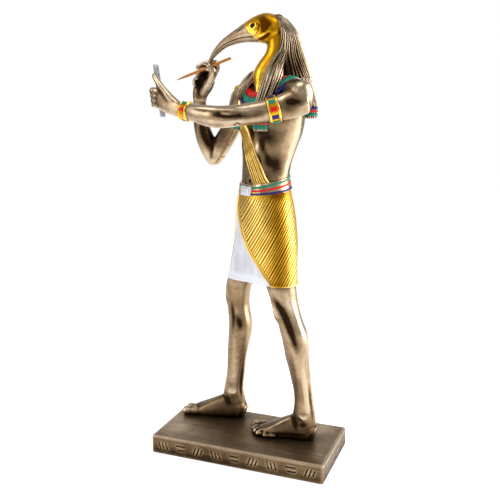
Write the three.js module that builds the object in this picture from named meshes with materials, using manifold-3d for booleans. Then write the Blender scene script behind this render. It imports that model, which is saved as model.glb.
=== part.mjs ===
// Standing ibis-headed figure of Thoth on an oblong plinth, with a reed pen in its right hand and a
// scribe's palette in its left fist. Millimetres, +Z up, origin in the middle of the plinth's underside.
// The figure looks along -Y, and its left side is towards +X.

import * as THREE from 'three';
import { LoftGeometry } from 'three/addons/geometries/LoftGeometry.js';
import * as BufferGeometryUtils from 'three/addons/utils/BufferGeometryUtils.js';
import Module from 'manifold-3d';

const wasm = await Module();
wasm.setup();

// Driving dimensions

const figureHeight = 286.5;
const plinthLength = 126;
const plinthWidth = 62;
const plinthHeight = 13.5;
const plinthEdgeRound = 1.4;
const strokeDepth = 0.4;
const strokeWidth = 0.8;
const strokeHeight = 5.5;
const strokePitch = 13.5;
const strokeMargin = 9;
const penLength = 39;
const penDiameter = 1.8;
const penPointLength = 7;
const penTipDiameter = 0.5;
const paletteLength = 34;
const paletteWidth = 8;
const paletteThickness = 2;
const paletteSlotWidth = 2.4;
const paletteSlotDepth = 0.7;
const paletteSlotMargin = 4;
const paletteBelowFist = 12.5;
const fitClearance = 0.3;

// The tables below are drawn on a figure of 286.5 units from sole to crown, and scaled to its height.
const tableHeight = 286.5;
const unit = figureHeight / tableHeight;

// Looks

const finish = (color, roughness, metalness) => (
  new THREE.MeshStandardMaterial({ color, roughness, metalness })
);
const bronzeMaterial = finish(0x8c785f, 0.38, 0.9);
const plinthMaterial = finish(0x857059, 0.45, 0.85);
const reedMaterial = finish(0xc98a1e, 0.45, 0.4);
const paletteMaterial = finish(0x8f8f93, 0.4, 0.8);

// Curves and lofts

const degrees = Math.PI / 180;

// A row shorter than seven numbers is x, y, z, radius, and is filled up to a round section.
function fullRow(row) {
  const [x, y, z, across, front = across, back = front, turn = 0] = row;
  return [x, y, z, across, front, back, turn];
}

// Cubic curve through the rows of a table, with knots as far apart as the rows' points.
function tableCurve(table) {
  const rows = table.map(fullRow);
  const knots = [0];
  for (let i = 1; i < rows.length; i += 1) {
    const step = Math.hypot(...[0, 1, 2].map((c) => rows[i][c] - rows[i - 1][c]));
    knots.push(knots[i - 1] + step);
  }
  const slopes = rows.map((row, i) => {
    const before = Math.max(i - 1, 0);
    const after = Math.min(i + 1, rows.length - 1);
    return row.map((_, c) => (rows[after][c] - rows[before][c]) / (knots[after] - knots[before]));
  });
  return (u) => {
    const s = u * knots[knots.length - 1];
    let i = 0;
    while (i < rows.length - 2 && s > knots[i + 1]) i += 1;
    const h = knots[i + 1] - knots[i];
    const t = (s - knots[i]) / h;
    const t2 = t * t;
    const t3 = t2 * t;
    return rows[i].map((value, c) => (
      value * (2 * t3 - 3 * t2 + 1) + slopes[i][c] * h * (t3 - 2 * t2 + t)
      + rows[i + 1][c] * (3 * t2 - 2 * t3) + slopes[i + 1][c] * h * (t3 - t2)
    ));
  };
}

// Centre, axis and the two directions of the section at u: across and front, with front = axis x across.
// A level section lies flat, whatever way the curve leans.
function sectionFrame(curve, u, side, level = false) {
  const row = curve(u);
  const before = curve(Math.max(u - 0.004, 0));
  const after = curve(Math.min(u + 0.004, 1));
  const axis = level
    ? new THREE.Vector3(0, 0, -1)
    : new THREE.Vector3(after[0] - before[0], after[1] - before[1], after[2] - before[2]).normalize();
  const square = side.clone().addScaledVector(axis, -side.dot(axis)).normalize();
  const ahead = new THREE.Vector3().crossVectors(axis, square);
  const turn = row[6] * degrees;
  const across = square.clone().multiplyScalar(Math.cos(turn)).addScaledVector(ahead, -Math.sin(turn));
  const front = new THREE.Vector3().crossVectors(axis, across);
  return { row, centre: new THREE.Vector3(row[0], row[1], row[2]), axis, across, front };
}

const signedPower = (value, power) => Math.sign(value) * Math.abs(value) ** power;

// Point of a section at an angle in degrees: 0 across, 90 front, 180 and 270 the other two.
function sectionPoint(frame, angle, grow = 0, squareness = 2, shrink = 1) {
  const c = signedPower(Math.cos(angle * degrees), 2 / squareness);
  const s = signedPower(Math.sin(angle * degrees), 2 / squareness);
  const depth = s > 0 ? frame.row[4] : frame.row[5];
  return frame.centre.clone()
    .addScaledVector(frame.across, (frame.row[3] + grow) * c * shrink)
    .addScaledVector(frame.front, (depth + grow) * s * shrink);
}

// Raised and sunken spots: each is place along the loft, angle, reach along, reach around, height.
function spotsAt(spots, u, angle) {
  return spots.reduce((sum, [place, at, along, around, height]) => {
    const turn = ((angle - at + 540) % 360) - 180;
    return sum + height * Math.exp(-(((u - place) / along) ** 2) - ((turn / around) ** 2));
  }, 0);
}

// Angles of a section with so many points over its front half and so many over its back half
const halves = (front, back) => [
  ...Array.from({ length: front }, (_, k) => (k * 180) / front),
  ...Array.from({ length: back }, (_, k) => 180 + (k * 180) / back),
];

// Closed skin through sections along a table, with rounded or flat ends.
function loft(table, options = {}) {
  const { rings = 8, sides = 12, angles = halves(sides / 2, sides / 2), side = [1, 0, 0] } = options;
  const { squareness = 2, spots = [], relief = () => 0 } = options;
  const { startRound = 0, endRound = 0, domeTilts = [76, 42], grow = 0, from = 0, to = 1 } = options;
  const { level = false, lean = 0, lift = () => 0 } = options;
  const curve = tableCurve(table);
  const sideways = new THREE.Vector3(...side);
  const ring = (u, push, shrink) => {
    const frame = sectionFrame(curve, u, sideways, level);
    const points = [];
    for (let k = 0; k < angles.length; k += 1) {
      const angle = angles[k] + lean * u;
      const height = spotsAt(spots, u, angle) + relief(u, angle, k) + grow;
      const point = sectionPoint(frame, angle, height, squareness, shrink);
      point.addScaledVector(frame.axis, push * Math.min(frame.row[3], frame.row[4]));
      points.push(point.setZ(point.z + lift(u, angle)));
    }
    return points;
  };
  const sections = [];
  if (startRound > 0) {
    domeTilts.forEach((tilt) => {
      sections.push(ring(from, -startRound * Math.sin(tilt * degrees), Math.cos(tilt * degrees)));
    });
  }
  for (let i = 0; i < rings; i += 1) sections.push(ring(from + ((to - from) * i) / (rings - 1), 0, 1));
  if (endRound > 0) {
    [...domeTilts].reverse().forEach((tilt) => {
      sections.push(ring(to, endRound * Math.sin(tilt * degrees), Math.cos(tilt * degrees)));
    });
  }
  return new LoftGeometry(sections, { closed: true, capStart: true, capEnd: true });
}

// Solids and booleans

function toSolid(geometry) {
  const plain = new THREE.BufferGeometry();
  plain.setAttribute('position', geometry.getAttribute('position').clone());
  plain.setIndex(geometry.getIndex());
  const merged = BufferGeometryUtils.mergeVertices(plain, 1e-4);
  const vertProperties = new Float32Array(merged.attributes.position.array);
  const triVerts = new Uint32Array(merged.index.array);
  return new wasm.Manifold(new wasm.Mesh({ numProp: 3, vertProperties, triVerts }));
}

function toGeometry(solid) {
  const { vertProperties, triVerts } = solid.getMesh();
  const geometry = new THREE.BufferGeometry();
  geometry.setAttribute('position', new THREE.BufferAttribute(new Float32Array(vertProperties), 3));
  geometry.setIndex(new THREE.BufferAttribute(new Uint32Array(triVerts), 1));
  geometry.computeVertexNormals();
  return geometry;
}

const join = (geometries) => geometries.map(toSolid).reduce((sum, solid) => sum.add(solid));

// Trunk: x, y, z, half width, half depth in front, half depth behind, turn to the figure's left

const trunkTable = [
  [-2, 17, 247, 7, 7, 7, 50],
  [-2, 17, 243, 14, 9, 9, 52],
  [-2.5, 16, 238, 21, 12, 12, 53],
  [-3, 15.5, 231, 25, 14.5, 14.5, 53],
  [-3, 15, 222, 25.5, 16.5, 15.5, 53],
  [-3, 14.5, 212, 23.5, 16.5, 15, 54],
  [-2, 13.5, 202, 20.5, 17, 13.5, 55],
  [-1, 12.3, 192, 18.3, 15.2, 12.5, 54],
  [0, 11.3, 182, 18.3, 14.2, 13, 50],
  [0, 10.8, 172, 19.5, 14, 14.5, 45],
  [-1, 10.5, 158, 21, 14.5, 16, 45],
];
const trunkSpots = [
  [0.30, 58, 0.09, 24, 1.8],
  [0.30, 122, 0.09, 24, 1.8],
  [0.36, 90, 0.16, 9, -1.2],
  [0.60, 90, 0.14, 5, -0.8],
  [0.34, 240, 0.12, 20, 1.2],
  [0.34, 300, 0.12, 20, 1.2],
  [0.50, 270, 0.25, 9, -1.4],
];

// Limbs

// Shoulders: one bar from the right shoulder through the base of the neck to the left
const yokeTable = [
  [-24, -14.6, 232, 10.6, 9],
  [-16, -2.5, 235.2, 9, 8.6],
  [-8, 9, 237.5, 9, 9.6],
  [-2, 17, 238.5, 9.2, 10],
  [4, 25, 238, 9, 9.6],
  [11, 33, 236.2, 9.2, 8.8],
  [18, 40, 233.6, 11, 9],
];
const leftArmTable = [
  [17, 42, 233, 9.6, 8, 7.6],
  [22, 35, 229.5, 8.8, 7.4, 7.2],
  [26, 28.5, 227.3, 7.7, 6.6, 6.6],
  [29.5, 21, 225.3, 7.1, 6.1, 6],
  [32.5, 13, 224, 6.7, 5.8, 5.6],
  [34.5, 5.5, 223, 6.5, 5.6, 5.2],
  [34, -2, 222.3, 6.8, 5.6, 5.2],
  [32.4, -9.5, 222, 6.9, 5.6, 5.4],
  [30.2, -18, 222.9, 6.5, 5.1, 5],
  [27.8, -26, 224.3, 5.8, 4.6, 4.6],
  [25.8, -32, 225.2, 5.4, 4.1, 4.2],
  [24.5, -36.5, 225.8, 5.1, 3.7, 3.8],
  [23.4, -41.5, 227, 5.1, 3.4, 3.5],
];
const rightUpperArmTable = [
  [-24.5, -15, 234, 8, 8.6],
  [-26.5, -19.5, 224, 7.2, 7.4],
  [-28.2, -25, 214, 6.6, 6.9],
  [-29.6, -30.5, 205, 6.1, 7.6, 6.3],
  [-30.6, -35.7, 197, 5.7, 7.4, 6],
  [-31, -39.5, 191.5, 5.4, 5.6],
];
const rightForearmTable = [
  [-31, -40, 191, 5.2, 5.4],
  [-30.2, -43, 197, 5.8, 7.2, 5.8],
  [-28, -45.4, 205, 5.9, 7, 6],
  [-24.6, -46.2, 214, 5.5, 5.7],
  [-20.6, -45.8, 223, 4.9, 5],
  [-16.6, -44, 230.5, 4.3, 4.6],
  [-14, -42.8, 235, 4, 4.6],
];

// Hands: the palm's section is half breadth then half thickness, and a finger is x, y, z, radius

const leftPalmTable = [
  [24.4, -37, 226, 4.8, 3.4, 3.5],
  [23.6, -41, 227, 5, 3.4, 3.5],
  [22.3, -47, 229.6, 6.3, 3.3, 3.2],
  [20.4, -54, 232.6, 6.6, 3, 2.9],
  [19, -57, 233.6, 6, 2.2, 2.4],
];
const leftFingerTables = [238.9, 235.6, 232.3, 229.2].map((z, i) => [
  [20.6 - 0.2 * i, -53.5, z - 0.8, 2.1 - 0.08 * i],
  [19.6 - 0.2 * i, -59.5, z, 2.0 - 0.08 * i],
  [17.0 - 0.2 * i, -63 + 0.3 * i, z, 2.0 - 0.08 * i],
  [13.2 - 0.2 * i, -63.6 + 0.5 * i, z - 0.3, 1.9 - 0.08 * i],
  [10.2, -61.5 + 0.5 * i, z - 0.6, 1.8 - 0.08 * i],
  [9.5, -57.2 + 0.5 * i, z - 0.8, 1.6 - 0.08 * i],
]);
const leftThumbTable = [
  [23.6, -42, 229.5, 2.8],
  [23.5, -47.5, 235.5, 2.7],
  [22.4, -53, 241.3, 2.4],
  [21, -57.5, 246.2, 2.2],
  [19.6, -59.8, 249, 1.7],
];

const rightPalmTable = [
  [-14.3, -43, 233, 4.6, 3.9],
  [-13.4, -41.8, 237.5, 5.6, 3.6],
  [-12.6, -39, 243, 6.8, 3.1],
  [-11.8, -36, 248, 6.6, 2.7],
];
const rightFingerTables = [
  [
    [-10, -32, 246.5, 2.4],
    [-8.8, -28.4, 252, 2.3],
    [-5.4, -25.6, 256, 2.1],
    [-2, -27.6, 257, 1.9],
    [1, -32, 256.4, 1.6],
  ],
  [
    [-11.5, -34, 246.5, 2.7],
    [-11, -31, 252, 2.2],
    [-8, -32, 255.6, 2.1],
    [-4, -35, 255.8, 1.9],
    [-1.4, -38, 254, 1.6],
  ],
  [
    [-12.7, -36.6, 245, 2.6],
    [-13, -35.6, 249.6, 2.1],
    [-10.4, -37.6, 251.2, 2],
    [-7, -39.8, 250, 1.8],
    [-5.4, -41, 247.2, 1.5],
  ],
  [
    [-14, -40, 242.5, 2.1],
    [-14.4, -40.4, 246, 2],
    [-12, -42.4, 247.2, 1.9],
    [-8.6, -43.8, 245.4, 1.7],
    [-7.4, -43.2, 242.6, 1.4],
  ],
];
const rightThumbTable = [
  [-12.5, -39.5, 237.5, 3.2],
  [-8.5, -34.5, 242.5, 3],
  [-4, -29.4, 247.2, 2.7],
  [-0.6, -26.8, 251.4, 2.5],
  [1, -28.8, 254.6, 1.9],
];

// Legs and feet

const leftLegTable = [
  [7, 19, 150, 12.5],
  [6, 22, 122, 11, 11, 11.5],
  [5, 24.5, 110, 9.8, 9.6, 10.2],
  [4.6, 26.7, 101, 8.9, 9, 9],
  [4, 29, 92, 8.3, 9, 8.3, 8],
  [3.5, 31.3, 84, 8.2, 8.4, 8.3, 8],
  [3, 33, 77, 8.5, 8.3, 9, 8],
  [2.4, 34.2, 70, 8.5, 8.2, 8.8, 8],
  [1.8, 35.2, 61.7, 7.8, 7.7, 8, 8],
  [1, 36.3, 54, 7, 7, 7.1, 7],
  [0.3, 37.4, 46.2, 6.4, 6.6, 6.6, 6],
  [-0.5, 38.5, 38.4, 5.9, 6.3, 6.4, 6],
  [-1.2, 39.3, 30.5, 5.7, 6.5, 6.5, 6],
  [-1.8, 39.8, 22.6, 6, 7.6, 7.2, 6],
  [-2.3, 39.5, 14, 6.6, 8.8, 8.4, 6],
  [-2.6, 39, 7, 6.6, 9, 8.8, 6],
];
const rightLegTable = [
  [-8, 4, 150, 12.5],
  [-14, -9, 122, 11, 11, 11.5],
  [-15.6, -13, 110, 9.6, 9.6, 10.2],
  [-16.4, -14.8, 101.8, 8.6, 8.8, 9],
  [-17, -15.5, 91.3, 8.1, 8.6, 8.1, 8],
  [-17, -14.9, 83.9, 7.8, 8, 7.8, 8],
  [-17, -14.4, 76.4, 8.1, 8, 8.6, 8],
  [-17.2, -14.3, 70.3, 8.2, 8.2, 8.7, 8],
  [-17.5, -15.1, 63.4, 7.8, 7.9, 8.2, 8],
  [-18, -16.3, 55.5, 7.1, 7.4, 7.6, 7],
  [-18.3, -17.4, 47.7, 6.5, 6.9, 7, 6],
  [-18.8, -18.2, 38.2, 6.1, 6.6, 6.7, 6],
  [-19.2, -19.2, 29.5, 6, 6.9, 6.6, 6],
  [-19.7, -20, 21.5, 6.3, 8, 7.2, 6],
  [-20, -20, 13, 6.8, 9, 8.4, 6],
  [-20.2, -19.6, 7, 6.8, 9, 8.8, 6],
];
const kneeSpots = [
  [0.40, 90, 0.035, 26, 0.9],
  [0.44, 90, 0.03, 20, -0.4],
  [0.48, 90, 0.03, 14, 0.5],
  [0.53, 215, 0.07, 40, 0.8],
  [0.51, 325, 0.07, 40, 0.7],
];

// A foot is drawn from its heel forward: forward, towards the big toe, height, half width, up, down
const footTable = [
  [2.6, 0, 6, 4.4, 4.5, 8],
  [5.4, 0, 7, 6.2, 7.6, 9],
  [11, 0.2, 8, 6.8, 11, 10],
  [19, 0.6, 6.5, 6.5, 9.2, 8.5],
  [27, 0.6, 5, 7.2, 7, 7],
  [34, 0.2, 4, 8.2, 4.8, 6],
  [39, -0.2, 3.3, 8.6, 3.6, 5],
  [42, -0.4, 2.8, 8, 2.6, 4.5],
];
const toeTables = [
  [[36, 4.4, 3.6, 3.1], [42, 5.6, 3.4, 3.1], [47.6, 5.9, 2.9, 3.1]],
  [[36, 1, 3.4, 2.3], [42, 1.2, 3.3, 2.2], [47.6, 0.9, 2.3, 2.1]],
  [[35, -1.8, 3.2, 2.2], [41, -2.5, 3, 2.1], [45.6, -3.1, 2.1, 2]],
  [[33, -4.4, 3, 2.1], [38.5, -5.6, 2.7, 2], [42.6, -6.3, 2, 1.9]],
  [[30, -6.4, 2.8, 2.1], [35, -8, 2.4, 2], [38.6, -8.6, 1.9, 1.9]],
];
const leftHeel = { x: -4, y: 49, turn: 6, inner: -1 };
const rightHeel = { x: -21, y: -10, turn: 6, inner: 1 };

// Head, beak and neck

const skullTable = [
  [0, 25, 275.5, 4, 4, 5],
  [0, 21.5, 276.5, 7, 7.2, 8],
  [0, 16, 276.5, 8.3, 9, 9.5],
  [0, 11, 276.8, 8.6, 9.7, 9.2],
  [0, 5.5, 276.4, 8.1, 8.7, 8],
  [0, 0.5, 275.4, 6.8, 7.2, 6.8],
  [0, -4, 274.4, 5.2, 5.6, 5.6],
  [0, -6, 273.9, 4.4, 4.8, 4.9],
];
const neckTable = [
  [0, 17.5, 276, 7, 7, 7],
  [0, 19.4, 269, 6.4, 7.6, 6],
  [0, 19, 263.5, 6, 7.3, 6],
  [0, 16.6, 258, 6, 7, 6.6],
  [0.6, 13.2, 252.5, 6.6, 7.6, 7.4],
  [1.6, 10.6, 247.5, 6.8, 7.6, 8],
  [3.8, 9.6, 243, 5.6, 5.6, 6],
  [6.6, 9.2, 239.6, 3.8, 3.4, 4.6],
  [8.4, 9, 237, 2.2, 1.8, 3],
];
const beakTable = [
  [0, 3, 274, 5.2, 5.2, 5.2],
  [0, -4, 273.9, 4.6, 5.2, 5.2],
  [0, -10.7, 272, 3.4, 4, 4.1],
  [0, -17.8, 268.6, 2.5, 2.9, 2.9],
  [0, -23.3, 264.2, 1.8, 2.1, 2.1],
  [0.3, -26.6, 260.2, 1.3, 1.4, 1.4],
  [0.5, -28.4, 257.2, 0.9, 0.9, 0.9],
];

// Wig: the hood, the two lappets in front and the tail behind

const strandHeight = 0.35;
const hoodTable = [
  [0, 19.6, 284.2, 4.2, 3.4, 1.8],
  [0, 21.4, 282.4, 6.8, 3, 2.8],
  [0, 23.6, 279, 8.9, 3.2, 3.9],
  [0, 25, 273, 10.3, 4, 6.7],
  [0, 24.6, 266, 11.4, 4, 9.7],
  [0, 22.8, 259.6, 12.4, 4, 13.5],
  [-0.3, 20.4, 252.5, 13.6, 4, 18.1, 6],
  [-0.8, 18, 246, 15, 4, 22.2, 14],
  [-1.5, 16, 240, 16.5, 4, 24.2, 22],
  [-2, 15, 235, 17, 4, 24.2, 28],
];
const nearLappetTable = [
  [11, 22, 254, 4.5, 4, 4, 70],
  [14, 20.4, 247, 6.2, 4, 4, 62],
  [16, 18.6, 240, 6.8, 3.4, 4, 56],
  [16.8, 15.8, 232, 7, 2.8, 4, 54],
  [16.4, 13.4, 222, 6.4, 2.4, 4, 53],
  [15.2, 12.8, 213.2, 6, 2.2, 3.5, 53],
];
const farLappetTable = [
  [-9.5, 16, 254, 4.5, 4, 4, -30],
  [-9, 8, 247, 5.5, 4, 4, -5],
  [-6.4, 1.6, 240, 6.2, 3.4, 4, 20],
  [-3, -3.4, 232, 6.4, 2.8, 4, 40],
  [-0.4, -6.8, 222, 6.2, 2.4, 4, 50],
  [1, -7.6, 213.2, 6, 2.2, 3.5, 53],
];
const tailTable = [
  [-2, 29, 254, 10, 8, 6, 12],
  [-6, 33, 245, 12, 6, 5.6, 22],
  [-9.5, 35.4, 236, 12.5, 5.5, 3.6, 32],
  [-12, 35.8, 228, 12.3, 5.5, 3, 38],
  [-13, 35.4, 221.2, 12, 5, 2.8, 40],
];

// Kilt: the same columns as the trunk, with level sections. The wrap is a layer over the plain apron.

const kiltTable = [
  [0, 10.8, 180, 19, 13.7, 13.8, 46],
  [0, 10.5, 173, 20.2, 14.4, 14.8, 45],
  [-0.4, 10.4, 165, 22, 15.5, 16.4, 45],
  [-1.8, 10, 153, 24.8, 16, 17, 48],
  [-3.6, 9, 138, 27.5, 15.6, 16.5, 53],
  [-4.8, 7.2, 124, 29.5, 14.9, 15.5, 57],
  [-5.4, 6, 112.2, 31, 14.5, 15.1, 60],
];
const kiltSquareness = 2.2;
const wrapThickness = 1.4;
const pleatHeight = 0.4;
const pleatCount = 28;
const pleatLean = 145;
// Where the wrap parts over the apron: place down the kilt, then the angles of its two edges
const apronTable = [
  [0.2, 103, 107],
  [0.4, 90, 122],
  [0.6, 76, 134],
  [0.8, 62, 142],
  [1, 44, 150],
];

// The hem hangs lower towards the figure's right than towards its left.
const hemDrop = 3.4;

function kiltSolid() {
  const lift = (u, angle) => -hemDrop * u ** 3 * Math.max(0, Math.cos((angle - 175) * degrees));
  const pleat = (u, angle, k) => (k % 2 ? pleatHeight : -pleatHeight) * Math.min(1, Math.max(0, u * 8 - 0.8));
  const wrap = loft(kiltTable, {
    rings: 7,
    sides: pleatCount * 2,
    squareness: kiltSquareness,
    level: true,
    lean: pleatLean,
    grow: wrapThickness,
    relief: pleat,
    lift,
  });
  const curve = tableCurve(kiltTable);
  const edges = tableCurve(apronTable.map(([u, first, last]) => [u * 100, 0, 0, first, last]));
  const opening = Array.from({ length: 7 }, (_, i) => edges(i / 6)).map(([place, , , first, last]) => {
    const u = Math.min(1, place / 100);
    const frame = sectionFrame(curve, u, new THREE.Vector3(1, 0, 0), true);
    const angles = [0, 1, 2, 3, 4].map((k) => first + ((last - first) * k) / 4);
    const outer = angles.map((angle) => sectionPoint(frame, angle, 6, kiltSquareness));
    return [sectionPoint(frame, (first + last) / 2, 0, kiltSquareness, 0.5), ...outer];
  });
  const below = opening[opening.length - 1].map((point) => point.clone().setZ(point.z - 4));
  const wedge = new LoftGeometry([...opening, below], { closed: true, capStart: true, capEnd: true });
  const under = (u, angle) => (angle > 20 && angle < 175 ? 0 : -1.2);
  const apron = loft(kiltTable, {
    rings: 6,
    angles: halves(12, 6),
    squareness: kiltSquareness,
    level: true,
    relief: under,
    lift,
  });
  return toSolid(wrap).subtract(toSolid(wedge)).add(toSolid(apron));
}

// Belt: three flat cords, high behind and low in front. Each is place down the belt and height.

const beltCurve = [
  [0.6, 11, 187, 18.6, 14.3, 13.1, 50],
  [0.4, 11, 182, 18.9, 14.3, 13.6, 48],
  [0.2, 11, 177, 19.9, 14.6, 14.7, 46],
  [0, 10.7, 172, 20.8, 15, 15.5, 45],
];
const beltProfile = [
  [-0.1, -3],
  [0, 1.1],
  [0.35, 0.6],
  [0.38, 1.3],
  [0.66, 0.7],
  [0.7, 1.4],
  [1, 1.4],
  [1.1, -3],
];
const beltTop = (angle) => 181.8 - 4.6 * Math.sin(angle * degrees);
const beltFoot = (angle) => 173.8 - 2 * Math.sin(angle * degrees);

function beltGeometry() {
  const curve = tableCurve(beltCurve);
  const sections = beltProfile.map(([down, height]) => {
    const points = [];
    for (let k = 0; k < 20; k += 1) {
      const angle = k * 18 + 5;
      const z = beltTop(angle) + (beltFoot(angle) - beltTop(angle)) * down;
      const place = (beltCurve[0][2] - z) / (beltCurve[0][2] - beltCurve[3][2]);
      const frame = sectionFrame(curve, THREE.MathUtils.clamp(place, 0, 1), new THREE.Vector3(1, 0, 0), true);
      points.push(sectionPoint(frame, angle, height, 2.3).setZ(z));
    }
    return points;
  });
  return new LoftGeometry(sections, { closed: true, capStart: true, capEnd: true });
}

// Broad collar lying on the chest and shoulders: half width, front, back, then its height at the side,
// in front and behind
const collarRings = [
  [9, 8, 8, 248, 243, 247],
  [19, 15.8, 14.8, 247.4, 235, 239],
  [26, 18.2, 16.6, 244, 227, 233],
  [24, 15, 14.4, 240, 226, 230],
];

function collarGeometry() {
  const sections = collarRings.map(([across, front, back, sideZ, frontZ, backZ]) => {
    const frame = sectionFrame(tableCurve(trunkTable), 0.16, new THREE.Vector3(1, 0, 0), true);
    frame.row[3] = across;
    frame.row[4] = front;
    frame.row[5] = back;
    const points = [];
    for (let k = 0; k < 16; k += 1) {
      const angle = k * 22.5;
      const s = Math.sin(angle * degrees);
      const z = sideZ + ((s > 0 ? frontZ : backZ) - sideZ) * Math.abs(s) ** 1.6;
      points.push(sectionPoint(frame, angle, 0, 2.3).setZ(z));
    }
    return points;
  });
  return new LoftGeometry(sections, { closed: true, capStart: true, capEnd: true });
}

// Sash from the right shoulder to the left of the belt: place down the trunk, angle, half width
const sashTable = [
  [0.1, 185, 4],
  [0.06, 165, 4.2],
  [0.12, 146, 4.4],
  [0.21, 128, 4.3],
  [0.38, 106, 4.2],
  [0.585, 79, 4.2],
  [0.72, 54, 4.4],
  [0.79, 38, 5],
];

function sashGeometry() {
  const curve = tableCurve(trunkTable);
  const steps = tableCurve(sashTable.map(([u, angle, width]) => [u * 100, angle, 0, width]));
  const at = (t, grow) => {
    const [u, angle, , width] = steps(t);
    const frame = sectionFrame(curve, u / 100, new THREE.Vector3(1, 0, 0), true);
    const height = spotsAt(trunkSpots, u / 100, angle) + grow;
    return { point: sectionPoint(frame, angle, height, 2.3), width };
  };
  const sections = [];
  for (let i = 0; i <= 9; i += 1) {
    const t = i / 9;
    const { point, width } = at(t, 0);
    const along = at(Math.min(1, t + 0.02), 0).point.sub(at(Math.max(0, t - 0.02), 0).point).normalize();
    const out = at(t, 4).point.sub(point);
    out.addScaledVector(along, -out.dot(along)).normalize();
    const across = new THREE.Vector3().crossVectors(out, along);
    sections.push([[-1, -2.4], [1, -2.4], [1, 0.9], [0, 1.2], [-1, 0.9]].map(([w, h]) => (
      point.clone().addScaledVector(across, w * width).addScaledVector(out, h)
    )));
  }
  return new LoftGeometry(sections, { closed: true, capStart: true, capEnd: true });
}

// Armlet above the left elbow and bracelet at the left wrist: places along the arm, with raised rims

function bandGeometry(from, to) {
  const rim = (u) => (Math.abs(u - (from + to) / 2) > (to - from) * 0.3 ? 0.35 : 0);
  return loft(leftArmTable, { rings: 4, sides: 12, side: [0, 0, 1], from, to, grow: 0.8, relief: rim });
}

// Feet

function footGeometries(heel) {
  const turn = heel.turn * degrees;
  const forward = [Math.sin(turn), -Math.cos(turn)];
  const inward = [Math.cos(turn) * heel.inner, Math.sin(turn) * heel.inner];
  const place = ([along, aside, up, ...rest]) => [
    heel.x + forward[0] * along + inward[0] * aside,
    heel.y + forward[1] * along + inward[1] * aside,
    up,
    ...rest,
  ];
  const foot = loft(footTable.map(place), {
    rings: 6,
    angles: halves(6, 2),
    squareness: 2.3,
    startRound: 0.5,
    endRound: 0.3,
    domeTilts: [50],
  });
  const toe = { rings: 2, angles: halves(3, 2), endRound: 0.9, domeTilts: [60] };
  const toes = toeTables.map((table) => loft(table.map(place), toe));
  return [foot, ...toes].map(flatUnder);
}

// Soles are flat on the plinth.
function flatUnder(geometry) {
  const { array } = geometry.attributes.position;
  for (let i = 2; i < array.length; i += 3) array[i] = Math.max(array[i], 0);
  return geometry;
}

// The figure, before its hands are cut for what they hold

function figureSolid() {
  const upright = { side: [0, 0, 1] };
  const yoke = { rings: 7, sides: 12, startRound: 0.9, endRound: 0.85, domeTilts: [70, 35] };
  const leg = { rings: 12, sides: 12, spots: kneeSpots, from: 0.2 };
  const finger = { rings: 5, sides: 6, endRound: 0.9, domeTilts: [60] };
  const thumb = { rings: 4, angles: halves(4, 3), endRound: 0.9, domeTilts: [60] };
  const body = join([
    loft(trunkTable, { rings: 9, sides: 20, squareness: 2.3, spots: trunkSpots, level: true, from: 0.09 }),
    loft(yokeTable, { ...upright, ...yoke }),
    loft(leftArmTable, { ...upright, rings: 11, sides: 12 }),
    loft(rightUpperArmTable, { rings: 5, sides: 10, endRound: 0.8, domeTilts: [50] }),
    loft(rightForearmTable, { rings: 6, sides: 10, startRound: 0.8, domeTilts: [50] }),
    loft(leftLegTable, leg),
    loft(rightLegTable, leg),
    ...footGeometries(leftHeel),
    ...footGeometries(rightHeel),
    loft(leftPalmTable, { ...upright, rings: 4, sides: 10, squareness: 2.4 }),
    loft(rightPalmTable, { rings: 3, sides: 10, side: [0, 1, 0], squareness: 2.4 }),
    ...leftFingerTables.map((table) => loft(table, { ...finger, ...upright })),
    ...rightFingerTables.map((table) => loft(table, { ...finger, side: [0, 0.3, 1] })),
    loft(leftThumbTable, thumb),
    loft(rightThumbTable, thumb),
  ]);
  const head = join([
    loft(skullTable, { rings: 7, sides: 12, startRound: 0.5 }),
    loft(neckTable, { rings: 9, sides: 10, endRound: 0.8 }),
    loft(beakTable, { rings: 7, sides: 8, endRound: 0.8, domeTilts: [60] }),
  ]);
  const strand = (u, angle, k) => (k % 2 ? strandHeight : -strandHeight) * Math.min(1, u * 4);
  const hair = { squareness: 2.6, relief: strand, level: true };
  const wig = join([
    loft(hoodTable, { ...hair, rings: 7, angles: halves(2, 22), startRound: 0.35, squareness: 2 }),
    loft(tailTable, { ...hair, rings: 3, angles: halves(2, 12), from: 0.3 }),
    loft(nearLappetTable, { ...hair, rings: 4, angles: halves(7, 1) }),
    loft(farLappetTable, { ...hair, rings: 4, angles: halves(7, 1) }),
  ]);
  const trims = join([
    collarGeometry(),
    sashGeometry(),
    beltGeometry(),
    bandGeometry(0.178, 0.275),
    bandGeometry(0.88, 0.96),
  ]);
  return body.add(head).add(wig).add(kiltSolid()).add(trims);
}

// The reed pen and the palette: where they lie in the hands, in figure units from the soles

const penTip = [6, -50, 245.7];
const penTowards = [-4, -15, 259.7];
const fistCentre = [14.6, -58.1, 234];
const paletteTilt = 7.1;
const paletteTurn = 12;

const held = ([x, y, z]) => new THREE.Vector3(x * unit, y * unit, z * unit + plinthHeight);

function penGeometry(clearance) {
  const radius = penDiameter / 2 + clearance;
  const point = penTipDiameter / 2 + clearance;
  const profile = [[0, -clearance], [point, -clearance], [radius, penPointLength], [radius, penLength - 0.4]];
  profile.push([radius - 0.3, penLength + clearance], [0, penLength + clearance]);
  return new THREE.LatheGeometry(profile.map(([r, h]) => new THREE.Vector2(r, h)), 12);
}

function penPlace(object) {
  const tip = held(penTip);
  const along = held(penTowards).sub(tip).normalize();
  object.quaternion.setFromUnitVectors(new THREE.Vector3(0, 1, 0), along);
  object.position.copy(tip);
  object.updateMatrix();
  return object.matrix;
}

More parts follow.
